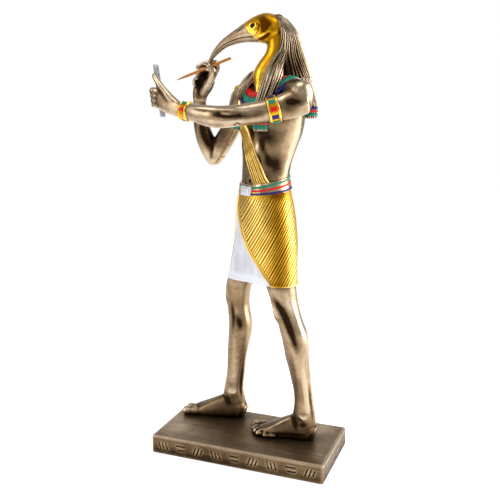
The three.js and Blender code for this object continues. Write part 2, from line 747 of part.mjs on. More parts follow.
function palettePlace(object) {
  object.rotation.set(paletteTilt * degrees, 0, paletteTurn * degrees, 'ZXY');
  const up = new THREE.Vector3(0, 0, 1).applyEuler(object.rotation);
  object.position.copy(held(fistCentre)).addScaledVector(up, paletteLength / 2 - paletteBelowFist);
  object.updateMatrix();
  return object.matrix;
}

// Palette: a flat bar with a long recess for reeds in the face turned to the figure
function paletteSolid() {
  const bar = toSolid(new THREE.BoxGeometry(paletteWidth, paletteThickness, paletteLength));
  const recessLength = paletteLength - 2 * paletteSlotMargin;
  const recess = new THREE.BoxGeometry(paletteSlotWidth, 2 * paletteSlotDepth, recessLength);
  return bar.subtract(toSolid(recess.translate(0, paletteThickness / 2, 0)));
}

// Plinth: a slab with rounded edges, and rows of shallow strokes along its left side and its rear

function plinthSolid() {
  const round = plinthEdgeRound;
  const halfWidth = plinthWidth / 2 - round;
  const halfLength = plinthLength / 2 - round;
  const outline = new THREE.Shape();
  outline.moveTo(-halfWidth, -halfLength);
  outline.lineTo(halfWidth, -halfLength);
  outline.lineTo(halfWidth, halfLength);
  outline.lineTo(-halfWidth, halfLength);
  outline.closePath();
  const slab = new THREE.ExtrudeGeometry(outline, {
    depth: plinthHeight - 2 * round,
    bevelThickness: round,
    bevelSize: round,
    bevelSegments: 2,
  });
  slab.translate(0, 0, round);
  let solid = toSolid(slab);
  strokeBoxes().forEach((box) => {
    solid = solid.subtract(toSolid(box));
  });
  return solid;
}

// Each group is an upright, a level stroke and a slanted one, and the groups stand a pitch apart.
function strokeBoxes() {
  const boxes = [];
  const group = (place, index) => {
    const tall = index % 2 ? strokeHeight : strokeHeight * 0.7;
    const parts = [
      { aside: -strokePitch * 0.18, up: 0, width: strokeWidth, height: tall, lean: 0 },
      { aside: strokePitch * 0.14, up: 0, width: strokeWidth, height: tall * 0.8, lean: index % 3 ? 90 : 30 },
    ];
    parts.forEach((part) => {
      const box = new THREE.BoxGeometry(2 * strokeDepth, part.width, part.height);
      box.rotateX(part.lean * degrees);
      boxes.push(place(box.translate(0, part.aside, part.up)));
    });
  };
  const row = (length, place) => {
    const count = Math.floor((length - 2 * strokeMargin) / strokePitch) + 1;
    for (let i = 0; i < count; i += 1) group((box) => place(box, (i - (count - 1) / 2) * strokePitch), i);
  };
  row(plinthLength, (box, at) => box.translate(plinthWidth / 2, at, plinthHeight / 2));
  row(plinthWidth, (box, at) => box.rotateZ(Math.PI / 2).translate(at, plinthLength / 2, plinthHeight / 2));
  return boxes;
}

// Assembly

const model = new THREE.Group();

function addMesh(name, geometry, material) {
  const mesh = new THREE.Mesh(geometry, material);
  mesh.name = name;
  model.add(mesh);
  return mesh;
}

function heldSpace(geometry, place) {
  return toSolid(geometry.applyMatrix4(place(new THREE.Object3D())));
}

const scaledFigure = toGeometry(figureSolid()).scale(unit, unit, unit).translate(0, 0, plinthHeight);
const grip = [paletteWidth, paletteThickness, paletteLength].map((size) => size + 2 * fitClearance);
const cutFigure = toSolid(scaledFigure)
  .subtract(heldSpace(penGeometry(fitClearance), penPlace))
  .subtract(heldSpace(new THREE.BoxGeometry(...grip), palettePlace));
addMesh('figure', toGeometry(cutFigure), bronzeMaterial);

addMesh('plinth', toGeometry(plinthSolid()), plinthMaterial);
penPlace(addMesh('reed_pen', penGeometry(0), reedMaterial));
palettePlace(addMesh('palette', toGeometry(paletteSolid()), paletteMaterial));

export default model;
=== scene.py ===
"""Thoth ibis figure: looks of a bronze-finish cast figure of an ibis-headed scribe on its plinth.

Shapes are worked out in millimetres in the frame of the part and put into the meshes in metres.
The figure looks along -Y, its left side is towards +X, and the plinth's underside is at z = 0.
"""

import math

import bpy
import numpy as np
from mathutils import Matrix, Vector


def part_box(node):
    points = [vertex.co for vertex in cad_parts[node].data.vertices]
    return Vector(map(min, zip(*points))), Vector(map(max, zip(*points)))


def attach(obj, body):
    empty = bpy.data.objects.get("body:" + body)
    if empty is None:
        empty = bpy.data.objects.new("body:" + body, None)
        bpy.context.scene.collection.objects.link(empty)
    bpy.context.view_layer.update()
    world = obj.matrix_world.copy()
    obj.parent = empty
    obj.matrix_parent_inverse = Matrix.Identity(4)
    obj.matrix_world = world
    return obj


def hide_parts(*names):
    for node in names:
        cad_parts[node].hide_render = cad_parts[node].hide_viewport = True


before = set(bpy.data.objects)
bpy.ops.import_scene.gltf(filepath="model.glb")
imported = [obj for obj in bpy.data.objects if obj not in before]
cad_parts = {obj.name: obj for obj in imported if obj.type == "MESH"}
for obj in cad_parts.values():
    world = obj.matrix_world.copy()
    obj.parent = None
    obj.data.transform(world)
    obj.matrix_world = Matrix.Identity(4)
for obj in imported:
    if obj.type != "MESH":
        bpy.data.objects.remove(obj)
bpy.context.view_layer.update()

bl_info = {
    "name": "Thoth ibis figure",
    "version": (1, 0, 0),
    "blender": (4, 5, 0),
    "location": "3D View > Sidebar > Ibis Figure",
    "description": "Makes a standing ibis-headed scribe with its plinth, reed pen and palette",
    "category": "Add Mesh",
}

MM = 0.001
PLINTH_BOX = [np.array(corner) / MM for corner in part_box("plinth")]
SOLE_HEIGHT = PLINTH_BOX[1][2]
UP = np.array([0.0, 0.0, 1.0])
TO_SOLES = UP * SOLE_HEIGHT
SIDEWAYS = np.array([1.0, 0.0, 0.0])
NO_TRIANGLES = np.zeros((0, 3), int)

# Camera worked out from the photo, in metres: degrees round the figure, place, aim and focal length, which is
# given for a picture of 500 by 500 pixels
CAMERA_AZIMUTH = 21.1
CAMERA_PLACE = (0.4408, 0.1701, 0.2413)
CAMERA_AIM = (0, 0, 0.146)
FOCAL_PIXELS, PICTURE_PIXELS = 707, 500
LAMP_AIM = (0, 0, 0.15)

# Tables of the figure: x, y, z above the soles, half width, depth in front, depth behind, turn.
# A shorter row repeats its last depth and has no turn.

TRUNK = [
    [-2, 17, 247, 7, 7, 7, 50], [-2, 17, 243, 14, 9, 9, 52], [-2.5, 16, 238, 21, 12, 12, 53],
    [-3, 15.5, 231, 25, 14.5, 14.5, 53], [-3, 15, 222, 25.5, 16.5, 15.5, 53],
    [-3, 14.5, 212, 23.5, 16.5, 15, 54], [-2, 13.5, 202, 20.5, 17, 13.5, 55],
    [-1, 12.3, 192, 18.3, 15.2, 12.5, 54], [0, 11.3, 182, 18.3, 14.2, 13, 50],
    [0, 10.8, 172, 19.5, 14, 14.5, 45], [-1, 10.5, 158, 21, 14.5, 16, 45],
]
TRUNK_SQUARENESS = 2.3
YOKE = [
    [-24, -14.6, 232, 10.6, 9], [-16, -2.5, 235.2, 9, 8.6], [-8, 9, 237.5, 9, 9.6],
    [-2, 17, 238.5, 9.2, 10], [4, 25, 238, 9, 9.6], [11, 33, 236.2, 9.2, 8.8], [18, 40, 233.6, 11, 9],
]
LEFT_ARM = [
    [17, 42, 233, 9.6, 8, 7.6], [22, 35, 229.5, 8.8, 7.4, 7.2], [26, 28.5, 227.3, 7.7, 6.6, 6.6],
    [29.5, 21, 225.3, 7.1, 6.1, 6], [32.5, 13, 224, 6.7, 5.8, 5.6], [34.5, 5.5, 223, 6.5, 5.6, 5.2],
    [34, -2, 222.3, 6.8, 5.6, 5.2], [32.4, -9.5, 222, 6.9, 5.6, 5.4], [30.2, -18, 222.9, 6.5, 5.1, 5],
    [27.8, -26, 224.3, 5.8, 4.6, 4.6], [25.8, -32, 225.2, 5.4, 4.1, 4.2],
    [24.5, -36.5, 225.8, 5.1, 3.7, 3.8], [23.4, -41.5, 227, 5.1, 3.4, 3.5],
]
RIGHT_UPPER_ARM = [
    [-24.5, -15, 234, 8, 8.6], [-26.5, -19.5, 224, 7.2, 7.4], [-28.2, -25, 214, 6.6, 6.9],
    [-29.6, -30.5, 205, 6.1, 7.6, 6.3], [-30.6, -35.7, 197, 5.7, 7.4, 6], [-31, -39.5, 191.5, 5.4, 5.6],
]
RIGHT_FOREARM = [
    [-31, -40, 191, 5.2, 5.4], [-30.2, -43, 197, 5.8, 7.2, 5.8], [-28, -45.4, 205, 5.9, 7, 6],
    [-24.6, -46.2, 214, 5.5, 5.7], [-20.6, -45.8, 223, 4.9, 5], [-16.6, -44, 230.5, 4.3, 4.6],
    [-14, -42.8, 235, 4, 4.6],
]
LEFT_PALM = [
    [24.4, -37, 226, 4.8, 3.4, 3.5], [23.6, -41, 227, 5, 3.4, 3.5], [22.3, -47, 229.6, 6.3, 3.3, 3.2],
    [20.4, -54, 232.6, 6.6, 3, 2.9], [19, -57, 233.6, 6, 2.2, 2.4],
]
LEFT_FINGERS = [
    [
        [20.6 - 0.2 * i, -53.5, z - 0.8, 2.1 - 0.08 * i], [19.6 - 0.2 * i, -59.5, z, 2.0 - 0.08 * i],
        [17.0 - 0.2 * i, -63 + 0.3 * i, z, 2.0 - 0.08 * i],
        [13.2 - 0.2 * i, -63.6 + 0.5 * i, z - 0.3, 1.9 - 0.08 * i],
        [10.2, -61.5 + 0.5 * i, z - 0.6, 1.8 - 0.08 * i], [9.5, -57.2 + 0.5 * i, z - 0.8, 1.6 - 0.08 * i],
    ]
    for i, z in enumerate((238.9, 235.6, 232.3, 229.2))
]
LEFT_THUMB = [
    [23.4, -41, 228.5, 3], [23.3, -47, 234.4, 2.6], [22.2, -53, 240.8, 2.2], [20.8, -57.5, 245.6, 1.95],
    [19.6, -59.7, 248.4, 1.6],
]
LEFT_WEB = [[23, -41, 228, 2.6, 2], [22.6, -46.5, 231.6, 3.6, 2.2], [21.6, -52, 235.4, 3, 1.6]]
RIGHT_PALM = [
    [-14.3, -43, 233, 4.6, 3.9], [-13.4, -41.8, 237.5, 5.6, 3.6], [-12.6, -39, 243, 6.8, 3.1],
    [-11.8, -36, 248, 6.6, 2.7],
]
RIGHT_FINGERS = [
    [[-10, -32, 246.5, 2.4], [-8.8, -28.4, 252, 2.3], [-5.4, -25.6, 256, 2.1], [-2, -27.6, 257, 1.9],
     [1, -32, 256.4, 1.6]],
    [[-11.5, -34, 246.5, 2.7], [-11, -31, 252, 2.2], [-8, -32, 255.6, 2.1], [-4, -35, 255.8, 1.9],
     [-1.4, -38, 254, 1.6]],
    [[-12.7, -36.6, 245, 2.6], [-13, -35.6, 249.6, 2.1], [-10.4, -37.6, 251.2, 2], [-7, -39.8, 250, 1.8],
     [-5.4, -41, 247.2, 1.5]],
    [[-14, -40, 242.5, 2.1], [-14.4, -40.4, 246, 2], [-12, -42.4, 247.2, 1.9], [-8.6, -43.8, 245.4, 1.7],
     [-7.4, -43.2, 242.6, 1.4]],
]
RIGHT_THUMB = [
    [-12.5, -39.5, 237.5, 3.2], [-8.5, -34.5, 242.5, 3], [-4, -29.4, 247.2, 2.7], [-0.6, -26.8, 251.4, 2.5],
    [1, -28.8, 254.6, 1.9],
]
LEFT_LEG = [
    [6, 17, 150, 9], [5, 20, 122, 9.2, 9.2, 9.6], [4.9, 24.3, 110, 9.7, 9.5, 10.1],
    [4.6, 26.7, 101, 8.9, 9, 9], [4, 29, 92, 8.3, 9, 8.3, 8], [3.5, 31.3, 84, 8.2, 8.4, 8.3, 8],
    [3, 33, 77, 8.5, 8.3, 9, 8], [2.4, 34.2, 70, 8.5, 8.2, 8.8, 8], [1.8, 35.2, 61.7, 7.8, 7.7, 8, 8],
    [1, 36.3, 54, 7, 7, 7.1, 7], [0.3, 37.4, 46.2, 6.4, 6.6, 6.6, 6], [-0.5, 38.5, 38.4, 5.9, 6.3, 6.4, 6],
    [-1.2, 39.3, 30.5, 5.7, 6.5, 6.5, 6], [-1.8, 39.8, 22.6, 6, 7.6, 7.2, 6],
    [-2.3, 39.5, 14, 6.6, 8.8, 8.4, 6], [-2.6, 39, 7, 6.6, 9, 8.8, 6],
]
RIGHT_LEG = [
    [-8, 4, 150, 9], [-12, -6.2, 122, 8.4, 8.4, 8.8], [-15.3, -12.5, 110, 9.3, 9.3, 9.8],
    [-16.4, -14.8, 101.8, 8.6, 8.8, 9], [-17, -15.5, 91.3, 8.1, 8.6, 8.1, 8],
    [-17, -14.9, 83.9, 7.8, 8, 7.8, 8], [-17, -14.4, 76.4, 8.1, 8, 8.6, 8],
    [-17.2, -14.3, 70.3, 8.2, 8.2, 8.7, 8], [-17.5, -15.1, 63.4, 7.8, 7.9, 8.2, 8],
    [-18, -16.3, 55.5, 7.1, 7.4, 7.6, 7], [-18.3, -17.4, 47.7, 6.5, 6.9, 7, 6],
    [-18.8, -18.2, 38.2, 6.1, 6.6, 6.7, 6], [-19.2, -19.2, 29.5, 6, 6.9, 6.6, 6],
    [-19.7, -20, 21.5, 6.3, 8, 7.2, 6], [-20, -20, 13, 6.8, 9, 8.4, 6], [-20.2, -19.6, 7, 6.8, 9, 8.8, 6],
]
# A foot is drawn from its heel: forward, towards the big toe, height, half width, up, down
FOOT = [
    [2.6, 0, 6, 4.4, 4.5, 8], [5.4, 0, 7, 6.2, 7.6, 9], [11, 0.2, 8, 6.8, 11, 10],
    [19, 0.6, 6.5, 6.5, 9.2, 8.5], [27, 0.6, 5, 7.2, 7, 7], [33, 0.4, 4.2, 7.9, 5, 6],
    [37.5, 1, 3.5, 7.4, 3.7, 5], [41, 2, 3, 6, 2.7, 4.5],
]
TOES = [
    [[35, 5, 3.6, 3.2], [41, 5.8, 3.4, 3.1], [46.6, 5.9, 2.9, 3]],
    [[35, 1.6, 3.3, 2.4], [41, 1.8, 3.2, 2.3], [46.2, 1.6, 2.4, 2.2]],
    [[34, -1.2, 3.2, 2.3], [40, -1.7, 3, 2.2], [44.4, -2, 2.3, 2.1]],
    [[32, -3.9, 3, 2.2], [37.5, -4.7, 2.8, 2.1], [41.8, -5.1, 2.2, 2]],
    [[29, -5.6, 2.7, 2.1], [33.6, -6.5, 2.4, 1.9], [36.6, -6.7, 1.9, 1.7]],
]
LEFT_HEEL = {"at": (-4, 49), "turn": 6, "inner": -1}
RIGHT_HEEL = {"at": (-21, -10), "turn": 6, "inner": 1}

SKULL = [
    [0, 25, 275.5, 4, 4, 5], [0, 21.5, 276.5, 7, 7.2, 8], [0, 16, 276.5, 8.3, 9, 9.5],
    [0, 11, 276.8, 8.6, 9.7, 9.2], [0, 5.5, 276.4, 8.1, 8.7, 8], [0, 0.5, 275.4, 6.8, 7.2, 6.8],
    [0, -4, 274.4, 5.2, 5.6, 5.6], [0, -6, 273.9, 4.4, 4.8, 4.9],
]
NECK = [
    [0, 17.5, 276, 7, 7, 7], [0, 19.4, 269, 6.4, 7.6, 6], [0, 19, 263.5, 6, 7.3, 6], [0, 16.6, 258, 6, 7, 6.6],
    [0.6, 13.2, 252.5, 6.6, 7.6, 7.4], [1.6, 10.6, 247.5, 6.8, 7.6, 8], [3.8, 9.6, 243, 5.6, 5.6, 6],
    [6.6, 9.2, 239.6, 3.8, 3.4, 4.6], [8.4, 9, 237, 2.2, 1.8, 3],
]
BEAK = [
    [0, 7, 276.4, 8, 8.7, 8.1], [0, 3, 275.9, 7.3, 7.8, 7.3], [0, -1, 275.1, 6.25, 6.6, 6.4],
    [0, -4.4, 274.2, 5.1, 5.5, 5.5], [0, -10.7, 272, 3.4, 4, 4.1],
    [0, -17.8, 268.6, 2.5, 2.9, 2.9], [0, -23.3, 264.2, 1.8, 2.1, 2.1], [0.3, -26.6, 260.2, 1.3, 1.4, 1.4],
    [0.5, -28.4, 257.2, 0.9, 0.9, 0.9],
]
HOOD = [
    [0, 19.6, 284.2, 4.2, 3.4, 1.8], [0, 21.4, 282.4, 6.8, 3, 2.8], [0, 23.6, 279, 8.9, 2.4, 3.9],
    [0, 25, 273, 10.3, 1.4, 6.7], [0, 24.6, 266, 11.4, 1.2, 9.7], [0, 22.8, 259.6, 12.4, 1.6, 13.5],
    [-0.3, 20.4, 252.5, 13.6, 3, 18.1, 6], [-0.8, 18, 246, 15, 4, 22.2, 14], [-1.5, 16, 240, 16.5, 4, 24.2, 22],
    [-2, 15, 235, 17, 4, 24.2, 28],
]
NEAR_LAPPET = [
    [8.6, 26.6, 268, 1.6, 1.6, 2, 84], [9.6, 25, 261, 3.4, 3, 3, 76],
    [11, 22, 254, 4.8, 4, 4, 70], [14, 20.4, 247, 6.2, 4, 4, 62], [16, 18.6, 240, 6.8, 3.4, 4, 56],
    [16.8, 15.8, 232, 7, 2.8, 4, 54], [16.4, 13.4, 222, 6.4, 2.4, 4, 53], [15.2, 12.8, 213.2, 6, 2.2, 3.5, 53],
]
FAR_LAPPET = [
    [-9.5, 16, 254, 4.5, 4, 4, -30], [-4.4, 3.8, 251, 6, 3.2, 6.4, 34], [-2.4, 0.1, 247, 6.8, 2.6, 7, 48],
    [-2.3, -5.4, 240, 5.4, 2.4, 6.4, 52], [-4, -9, 233, 4.6, 2.2, 5.4, 53],
    [-1.8, -8.6, 222, 4.8, 2.2, 4.6, 53], [0, -7.8, 213.2, 5, 2.2, 3.8, 54],
]
TAIL = [
    [-2, 29, 254, 10, 8, 6, 12], [-6, 33, 245, 12, 6, 5.6, 22], [-9.5, 35.4, 236, 12.5, 5.5, 3.6, 32],
    [-12, 35.8, 228, 12.3, 5.5, 3, 38], [-13, 35.4, 221.2, 12, 5, 2.8, 40],
]
KILT = [
    [0, 10.8, 180, 19, 13.7, 13.8, 46], [0, 10.5, 173, 20.2, 14.4, 14.8, 45],
    [-0.4, 10.4, 165, 22, 15.5, 16.4, 45], [-1.8, 10, 153, 24.8, 16, 17, 48],
    [-3.6, 9, 138, 27.5, 15.6, 16.5, 53], [-4.8, 7.2, 124, 29.5, 14.9, 15.5, 57],
    [-5.4, 6, 112.2, 31, 14.5, 15.1, 60],
]
KILT_SQUARENESS = 2.2
# Where the wrap parts over the apron: place down the kilt, then the angles of its two edges
PARTING = [
    [0.1, 104.5, 105.5], [0.2, 104, 116], [0.3, 100.5, 130], [0.4, 96.5, 140], [0.5, 92.5, 147], [0.6, 87, 153],
    [0.7, 78, 157.5], [0.8, 66, 161], [0.9, 55.5, 164], [1, 44, 167],
]
BELT = [
    [0.6, 11, 187, 18.6, 14.3, 13.1, 50], [0.4, 11, 182, 18.9, 14.3, 13.6, 48],
    [0.2, 11, 177, 19.9, 14.6, 14.7, 46], [0, 10.7, 172, 20.8, 15, 15.5, 45],
]
# Sash: place down the trunk, angle, half width, height off the skin
SASH = [
    [0.1, 190, 4, 5.4], [0.06, 172, 4.2, 6.2], [0.12, 151, 4.4, 5.2], [0.21, 130, 4.7, 3],
    [0.38, 106, 5.1, 1.3], [0.585, 79, 4.9, 1], [0.72, 54, 4.8, 1], [0.78, 40, 5, 0.3],
]
# Sash on the back, from the right shoulder to the left hip
SASH_BACK = [
    [0.1, 196, 4.4, 3.6], [0.16, 214, 4.6, 2.6], [0.28, 236, 4.7, 1.4], [0.41, 258, 4.8, 1.4],
    [0.53, 274, 4.8, 1.2], [0.64, 287, 4.8, 0.9], [0.71, 295, 5, -0.6],
]
# Broad collar: half width, front, back, then its height at the side, in front and behind
COLLAR = [
    [9, 8, 8, 248, 243, 247], [19, 15.8, 14.8, 247.4, 235, 239], [26, 18.2, 16.6, 244, 227, 233],
    [24, 15, 14.4, 240, 226, 230],
]


# Curves and surfaces worked out as whole arrays

def rows_of(table):
    """The table's rows, each filled up to x, y, z, half width, front, back, turn."""
    full = []
    for row in table:
        x, y, z, across, *rest = row
        front = rest[0] if rest else across
        back = rest[1] if len(rest) > 1 else front
        full.append([x, y, z, across, front, back, rest[2] if len(rest) > 2 else 0])
    return np.array(full, float)


def along(rows, u):
    """Cubic curve through the rows: knots are as far apart as the rows' points, slopes join the neighbours."""
    rows = np.asarray(rows, float)
    last = len(rows) - 1
    knots = np.concatenate([[0], np.cumsum(np.linalg.norm(np.diff(rows[:, :3], axis=0), axis=1))])
    before = np.maximum(np.arange(last + 1) - 1, 0)
    after = np.minimum(np.arange(last + 1) + 1, last)
    slopes = (rows[after] - rows[before]) / (knots[after] - knots[before])[:, None]
    s = np.clip(u, 0, 1) * knots[-1]
    i = np.clip(np.searchsorted(knots, s, side="right") - 1, 0, last - 1)
    h = (knots[i + 1] - knots[i])[..., None]
    t = ((s - knots[i]) / (knots[i + 1] - knots[i]))[..., None]
    return (
        rows[i] * (2 * t**3 - 3 * t**2 + 1) + slopes[i] * h * (t**3 - 2 * t**2 + t)
        + rows[i + 1] * (3 * t**2 - 2 * t**3) + slopes[i + 1] * h * (t**3 - t**2)
    )


def unit(v):
    return v / np.maximum(np.linalg.norm(v, axis=-1, keepdims=True), 1e-12)


def frames(table, u, side=SIDEWAYS, level=False):
    """Row, axis, across and front of the sections at u. A level section lies flat."""
    rows = rows_of(table)
    row = along(rows, u)
    if level:
        axis = np.broadcast_to(-UP, row[..., :3].shape)
    else:
        axis = unit((along(rows, u + 0.004) - along(rows, u - 0.004))[..., :3])
    side = np.asarray(side, float)
    square = unit(side - axis * (axis @ side)[..., None])
    ahead = np.cross(axis, square)
    turn = np.radians(row[..., 6])[..., None]
    across = square * np.cos(turn) - ahead * np.sin(turn)
    return row, axis, across, np.cross(axis, across)


def bell(off, width):
    """1 where off is 0, falling on both sides as exp(-(off / width)^2)."""
    return np.exp(-((off / width) ** 2))


def signed_power(value, power):
    return np.sign(value) * np.abs(value) ** power


def surface(table, u, angle, height=0.0, squareness=2.0, shrink=1.0, push=0.0, side=SIDEWAYS, level=False):
    """Centre + across (half width + height) cos + front (depth + height) sin, for arrays of u and angle.

    Squareness raises cos and sin to 2 / squareness. Shrink and push round an end off.
    """
    u, angle = np.broadcast_arrays(np.asarray(u, float), np.asarray(angle, float))
    row, axis, across, front = frames(table, u, side, level)
    c = signed_power(np.cos(np.radians(angle)), 2 / squareness) * shrink
    s = signed_power(np.sin(np.radians(angle)), 2 / squareness) * shrink
    depth = np.where(s > 0, row[..., 4], row[..., 5])
    least = np.minimum(row[..., 3], row[..., 4])
    return (
        row[..., :3] + across * ((row[..., 3] + height) * c)[..., None]
        + front * ((depth + height) * s)[..., None] + axis * (push * least)[..., None]
    )


def bumps(spots, u, angle):
    """Sum of rounded spots: each is place along, angle, reach along, reach around, height."""
    total = np.zeros(np.broadcast(u, angle).shape)
    for place, at, reach, around, height in spots:
        turn = (angle - at + 540) % 360 - 180
        total += height * np.exp(-(((u - place) / reach) ** 2) - (turn / around) ** 2)
    return total


def ring_places(rings, sides, span=(0, 1), start_round=0.0, end_round=0.0):
    """Places along and angles of a closed tube's rings, with how far each ring is shrunk and pushed out."""
    tilts = np.radians(np.linspace(88, 12, 8))
    u = np.linspace(*span, rings)
    push, shrink = np.zeros(rings), np.ones(rings)
    if start_round:
        u = np.concatenate([np.full(8, span[0]), u])
        push = np.concatenate([-start_round * np.sin(tilts), push])
        shrink = np.concatenate([np.cos(tilts), shrink])
    if end_round:
        u = np.concatenate([u, np.full(8, span[1])])
        push = np.concatenate([push, end_round * np.sin(tilts[::-1])])
        shrink = np.concatenate([shrink, np.cos(tilts[::-1])])
    angle = np.tile(np.arange(sides) * 360 / sides, (len(u), 1))
    return np.broadcast_to(u[:, None], angle.shape), angle, shrink[:, None], push[:, None]


def skin(table, rings, sides, relief=None, span=(0, 1), start_round=0.0, end_round=0.0, lift=None, **form):
    """Grid of a closed tube along a table: rings from span, then domes whose rings shrink by the cosine
    of their tilt and are pushed out by its sine."""
    u, angle, shrink, push = ring_places(rings, sides, span, start_round, end_round)
    points = surface(table, u, angle, relief(u, angle) if relief else 0.0, shrink=shrink, push=push, **form)
    if lift:
        points[..., 2] += lift(u, angle)
    return points


# Meshes

def grid_faces(rows, columns, round_rows=False, round_columns=True):
    """Quads between neighbouring rows and columns of a grid, which may close on itself either way."""
    i = np.arange(rows if round_rows else rows - 1)[:, None]
    k = np.arange(columns if round_columns else columns - 1)[None]
    i2, k2 = (i + 1) % rows, (k + 1) % columns
    corners = [i * columns + k, i * columns + k2, i2 * columns + k2, i2 * columns + k]
    return np.stack([np.broadcast_to(c, (i.shape[0], k.shape[1])).ravel() for c in corners], 1)


def tube(points):
    """Points and faces of a grid of rings, closed at both ends by a fan round its middle."""
    rows, sides = points.shape[:2]
    verts = np.concatenate([points.reshape(-1, 3), points[:1].mean(1), points[-1:].mean(1)])
    k = np.arange(sides)
    start = np.stack([np.full(sides, rows * sides), (k + 1) % sides, k], 1)
    last = (rows - 1) * sides
    end = np.stack([np.full(sides, rows * sides + 1), last + k, last + (k + 1) % sides], 1)
    return verts, grid_faces(rows, sides), np.concatenate([start, end])


def ring_band(points):
    """Points and faces of a grid that closes on itself both ways."""
    rows, sides = points.shape[:2]
    return points.reshape(-1, 3), grid_faces(rows, sides, True), NO_TRIANGLES


def shell(outer, inner):
    """Points and faces between an outer and an inner open grid, with their four edges closed."""
    rows, columns = outer.shape[:2]
    count = rows * columns
    index = np.arange(count).reshape(rows, columns)
    quads = [grid_faces(rows, columns, False, False), grid_faces(rows, columns, False, False)[:, ::-1] + count]
    for edge in (index[0], index[:, -1], index[-1, ::-1], index[::-1, 0]):
        quads.append(np.stack([edge[1:], edge[:-1], edge[:-1] + count, edge[1:] + count], 1))
    verts = np.concatenate([outer.reshape(-1, 3), inner.reshape(-1, 3)])
    return verts, np.concatenate(quads), NO_TRIANGLES


def joined(parts):
    """One list of points and faces from several."""
    verts, quads, tris, first = [], [], [], 0
    for v, q, t in parts:
        verts.append(v)
        quads.append(q + first)
        tris.append(t + first)
        first += len(v)
    return np.concatenate(verts), np.concatenate(quads), np.concatenate(tris)


def tubes(grids):
    """One shape of several grids of rings."""
    return joined([tube(points) for points in grids])


def mesh_from(name, shape):
    verts, quads, tris = shape
    mesh = bpy.data.meshes.new(name)
    mesh.vertices.add(len(verts))
    mesh.vertices.foreach_set("co", np.ascontiguousarray(verts * MM, np.float32).ravel())
    mesh.loops.add(quads.size + tris.size)
    mesh.loops.foreach_set("vertex_index", np.concatenate([quads.ravel(), tris.ravel()]).astype(np.int32))
    mesh.polygons.add(len(quads) + len(tris))
    starts = np.concatenate([np.arange(len(quads)) * 4, quads.size + np.arange(len(tris)) * 3])
    mesh.polygons.foreach_set("loop_start", starts.astype(np.int32))
    mesh.update(calc_edges=True)
    mesh.validate()
    return mesh


def read(mesh):
    """Points in millimetres, edges and normals of a mesh."""
    points = np.empty(len(mesh.vertices) * 3, np.float32)
    mesh.vertices.foreach_get("co", points)
    edges = np.empty(len(mesh.edges) * 2, np.int32)
    mesh.edges.foreach_get("vertices", edges)
    normals = np.empty(len(mesh.vertices) * 3, np.float32)
    mesh.vertex_normals.foreach_get("vector", normals)
    return points.reshape(-1, 3).astype(float) / MM, edges.reshape(-1, 2), normals.reshape(-1, 3).astype(float)


def write(mesh, points):
    mesh.vertices.foreach_set("co", (points * MM).astype(np.float32).ravel())
    mesh.update()


def relax(points, edges, amount, rounds):
    """Each round moves every point part of the way to the middle of its neighbours."""
    a, b = edges.T
    count = len(points)
    share = np.maximum(np.bincount(a, minlength=count) + np.bincount(b, minlength=count), 1)[:, None]
    for _ in range(rounds):
        total = np.stack([
            np.bincount(a, points[b, c], count) + np.bincount(b, points[a, c], count) for c in range(3)
        ], 1)
        points = points + amount * (total / share - points)
    return points


def into_scene(name, data):
    """An object of the scene made of the data: a mesh, a light or a camera."""
    made = bpy.data.objects.new(name, data)
    bpy.context.scene.collection.objects.link(made)
    return made


def fused(name, shape, voxel, rounds, soft):
    """Closed shapes melted into one skin: a voxel remesh, then a few rounds of relaxing. Round each soft spot,
    a centre, reach and rounds, it is relaxed further by exp(-(distance / reach)^2)."""
    source = into_scene(name + "_rough", mesh_from(name, shape))
    remesh = source.modifiers.new("Melt", "REMESH")
    remesh.mode = "VOXEL"
    remesh.voxel_size = voxel * MM
    mesh = bpy.data.meshes.new_from_object(source.evaluated_get(bpy.context.evaluated_depsgraph_get()))
    bpy.data.objects.remove(source)
    points, edges, _ = read(mesh)
    points = relax(points, edges, 0.5, rounds)
    for centre, reach, more in soft:
        away = np.linalg.norm(points - np.array(centre) - TO_SOLES, axis=1)
        share = bell(away, reach)[:, None]
        points = points + share * (relax(points, edges, 0.5, more) - points)
    write(mesh, points)
    return mesh


def reach_of(points, strokes):
    """Sum of height * exp(-(distance / width)^2) from each stroke's path. A fading stroke's height falls to
    nothing at both ends, as the sine of its place to the power 1.3."""
    total = np.zeros(len(points))
    for path, width, height, *fades in strokes:
        path = np.atleast_2d(np.asarray(path, float))
        reach = 2.6 * width
        near = np.flatnonzero(np.all((points > path.min(0) - reach) & (points < path.max(0) + reach), axis=1))
        if not len(near):
            continue
        p = points[near]
        nearest, place = np.full(len(near), np.inf), np.zeros(len(near))
        starts, ends = (path[:-1], path[1:]) if len(path) > 1 else (path, path)
        for k, (a, b) in enumerate(zip(starts, ends)):
            ab = b - a
            t = np.clip((p - a) @ ab / max(ab @ ab, 1e-9), 0, 1)
            away = np.linalg.norm(p - a - t[:, None] * ab, axis=1)
            place = np.where(away < nearest, (k + t) / len(starts), place)
            nearest = np.minimum(nearest, away)
        fade = np.sin(np.pi * place) ** 1.3 if fades and len(path) > 1 else 1.0
        total[near] += height * fade * bell(nearest, width)
    return total


def carve(mesh, strokes):
    """Moves points along their normals by the strokes. Gives how far each point moved."""
    points, _, normals = read(mesh)
    shift = reach_of(points, strokes)
    write(mesh, points + normals * shift[:, None])
    return shift


def store(mesh, key, values):
    """Keeps a value for each point of the mesh, which its material reads."""
    layer = mesh.attributes.new(key, "FLOAT", "POINT")
    layer.data.foreach_set("value", np.asarray(values, np.float32))


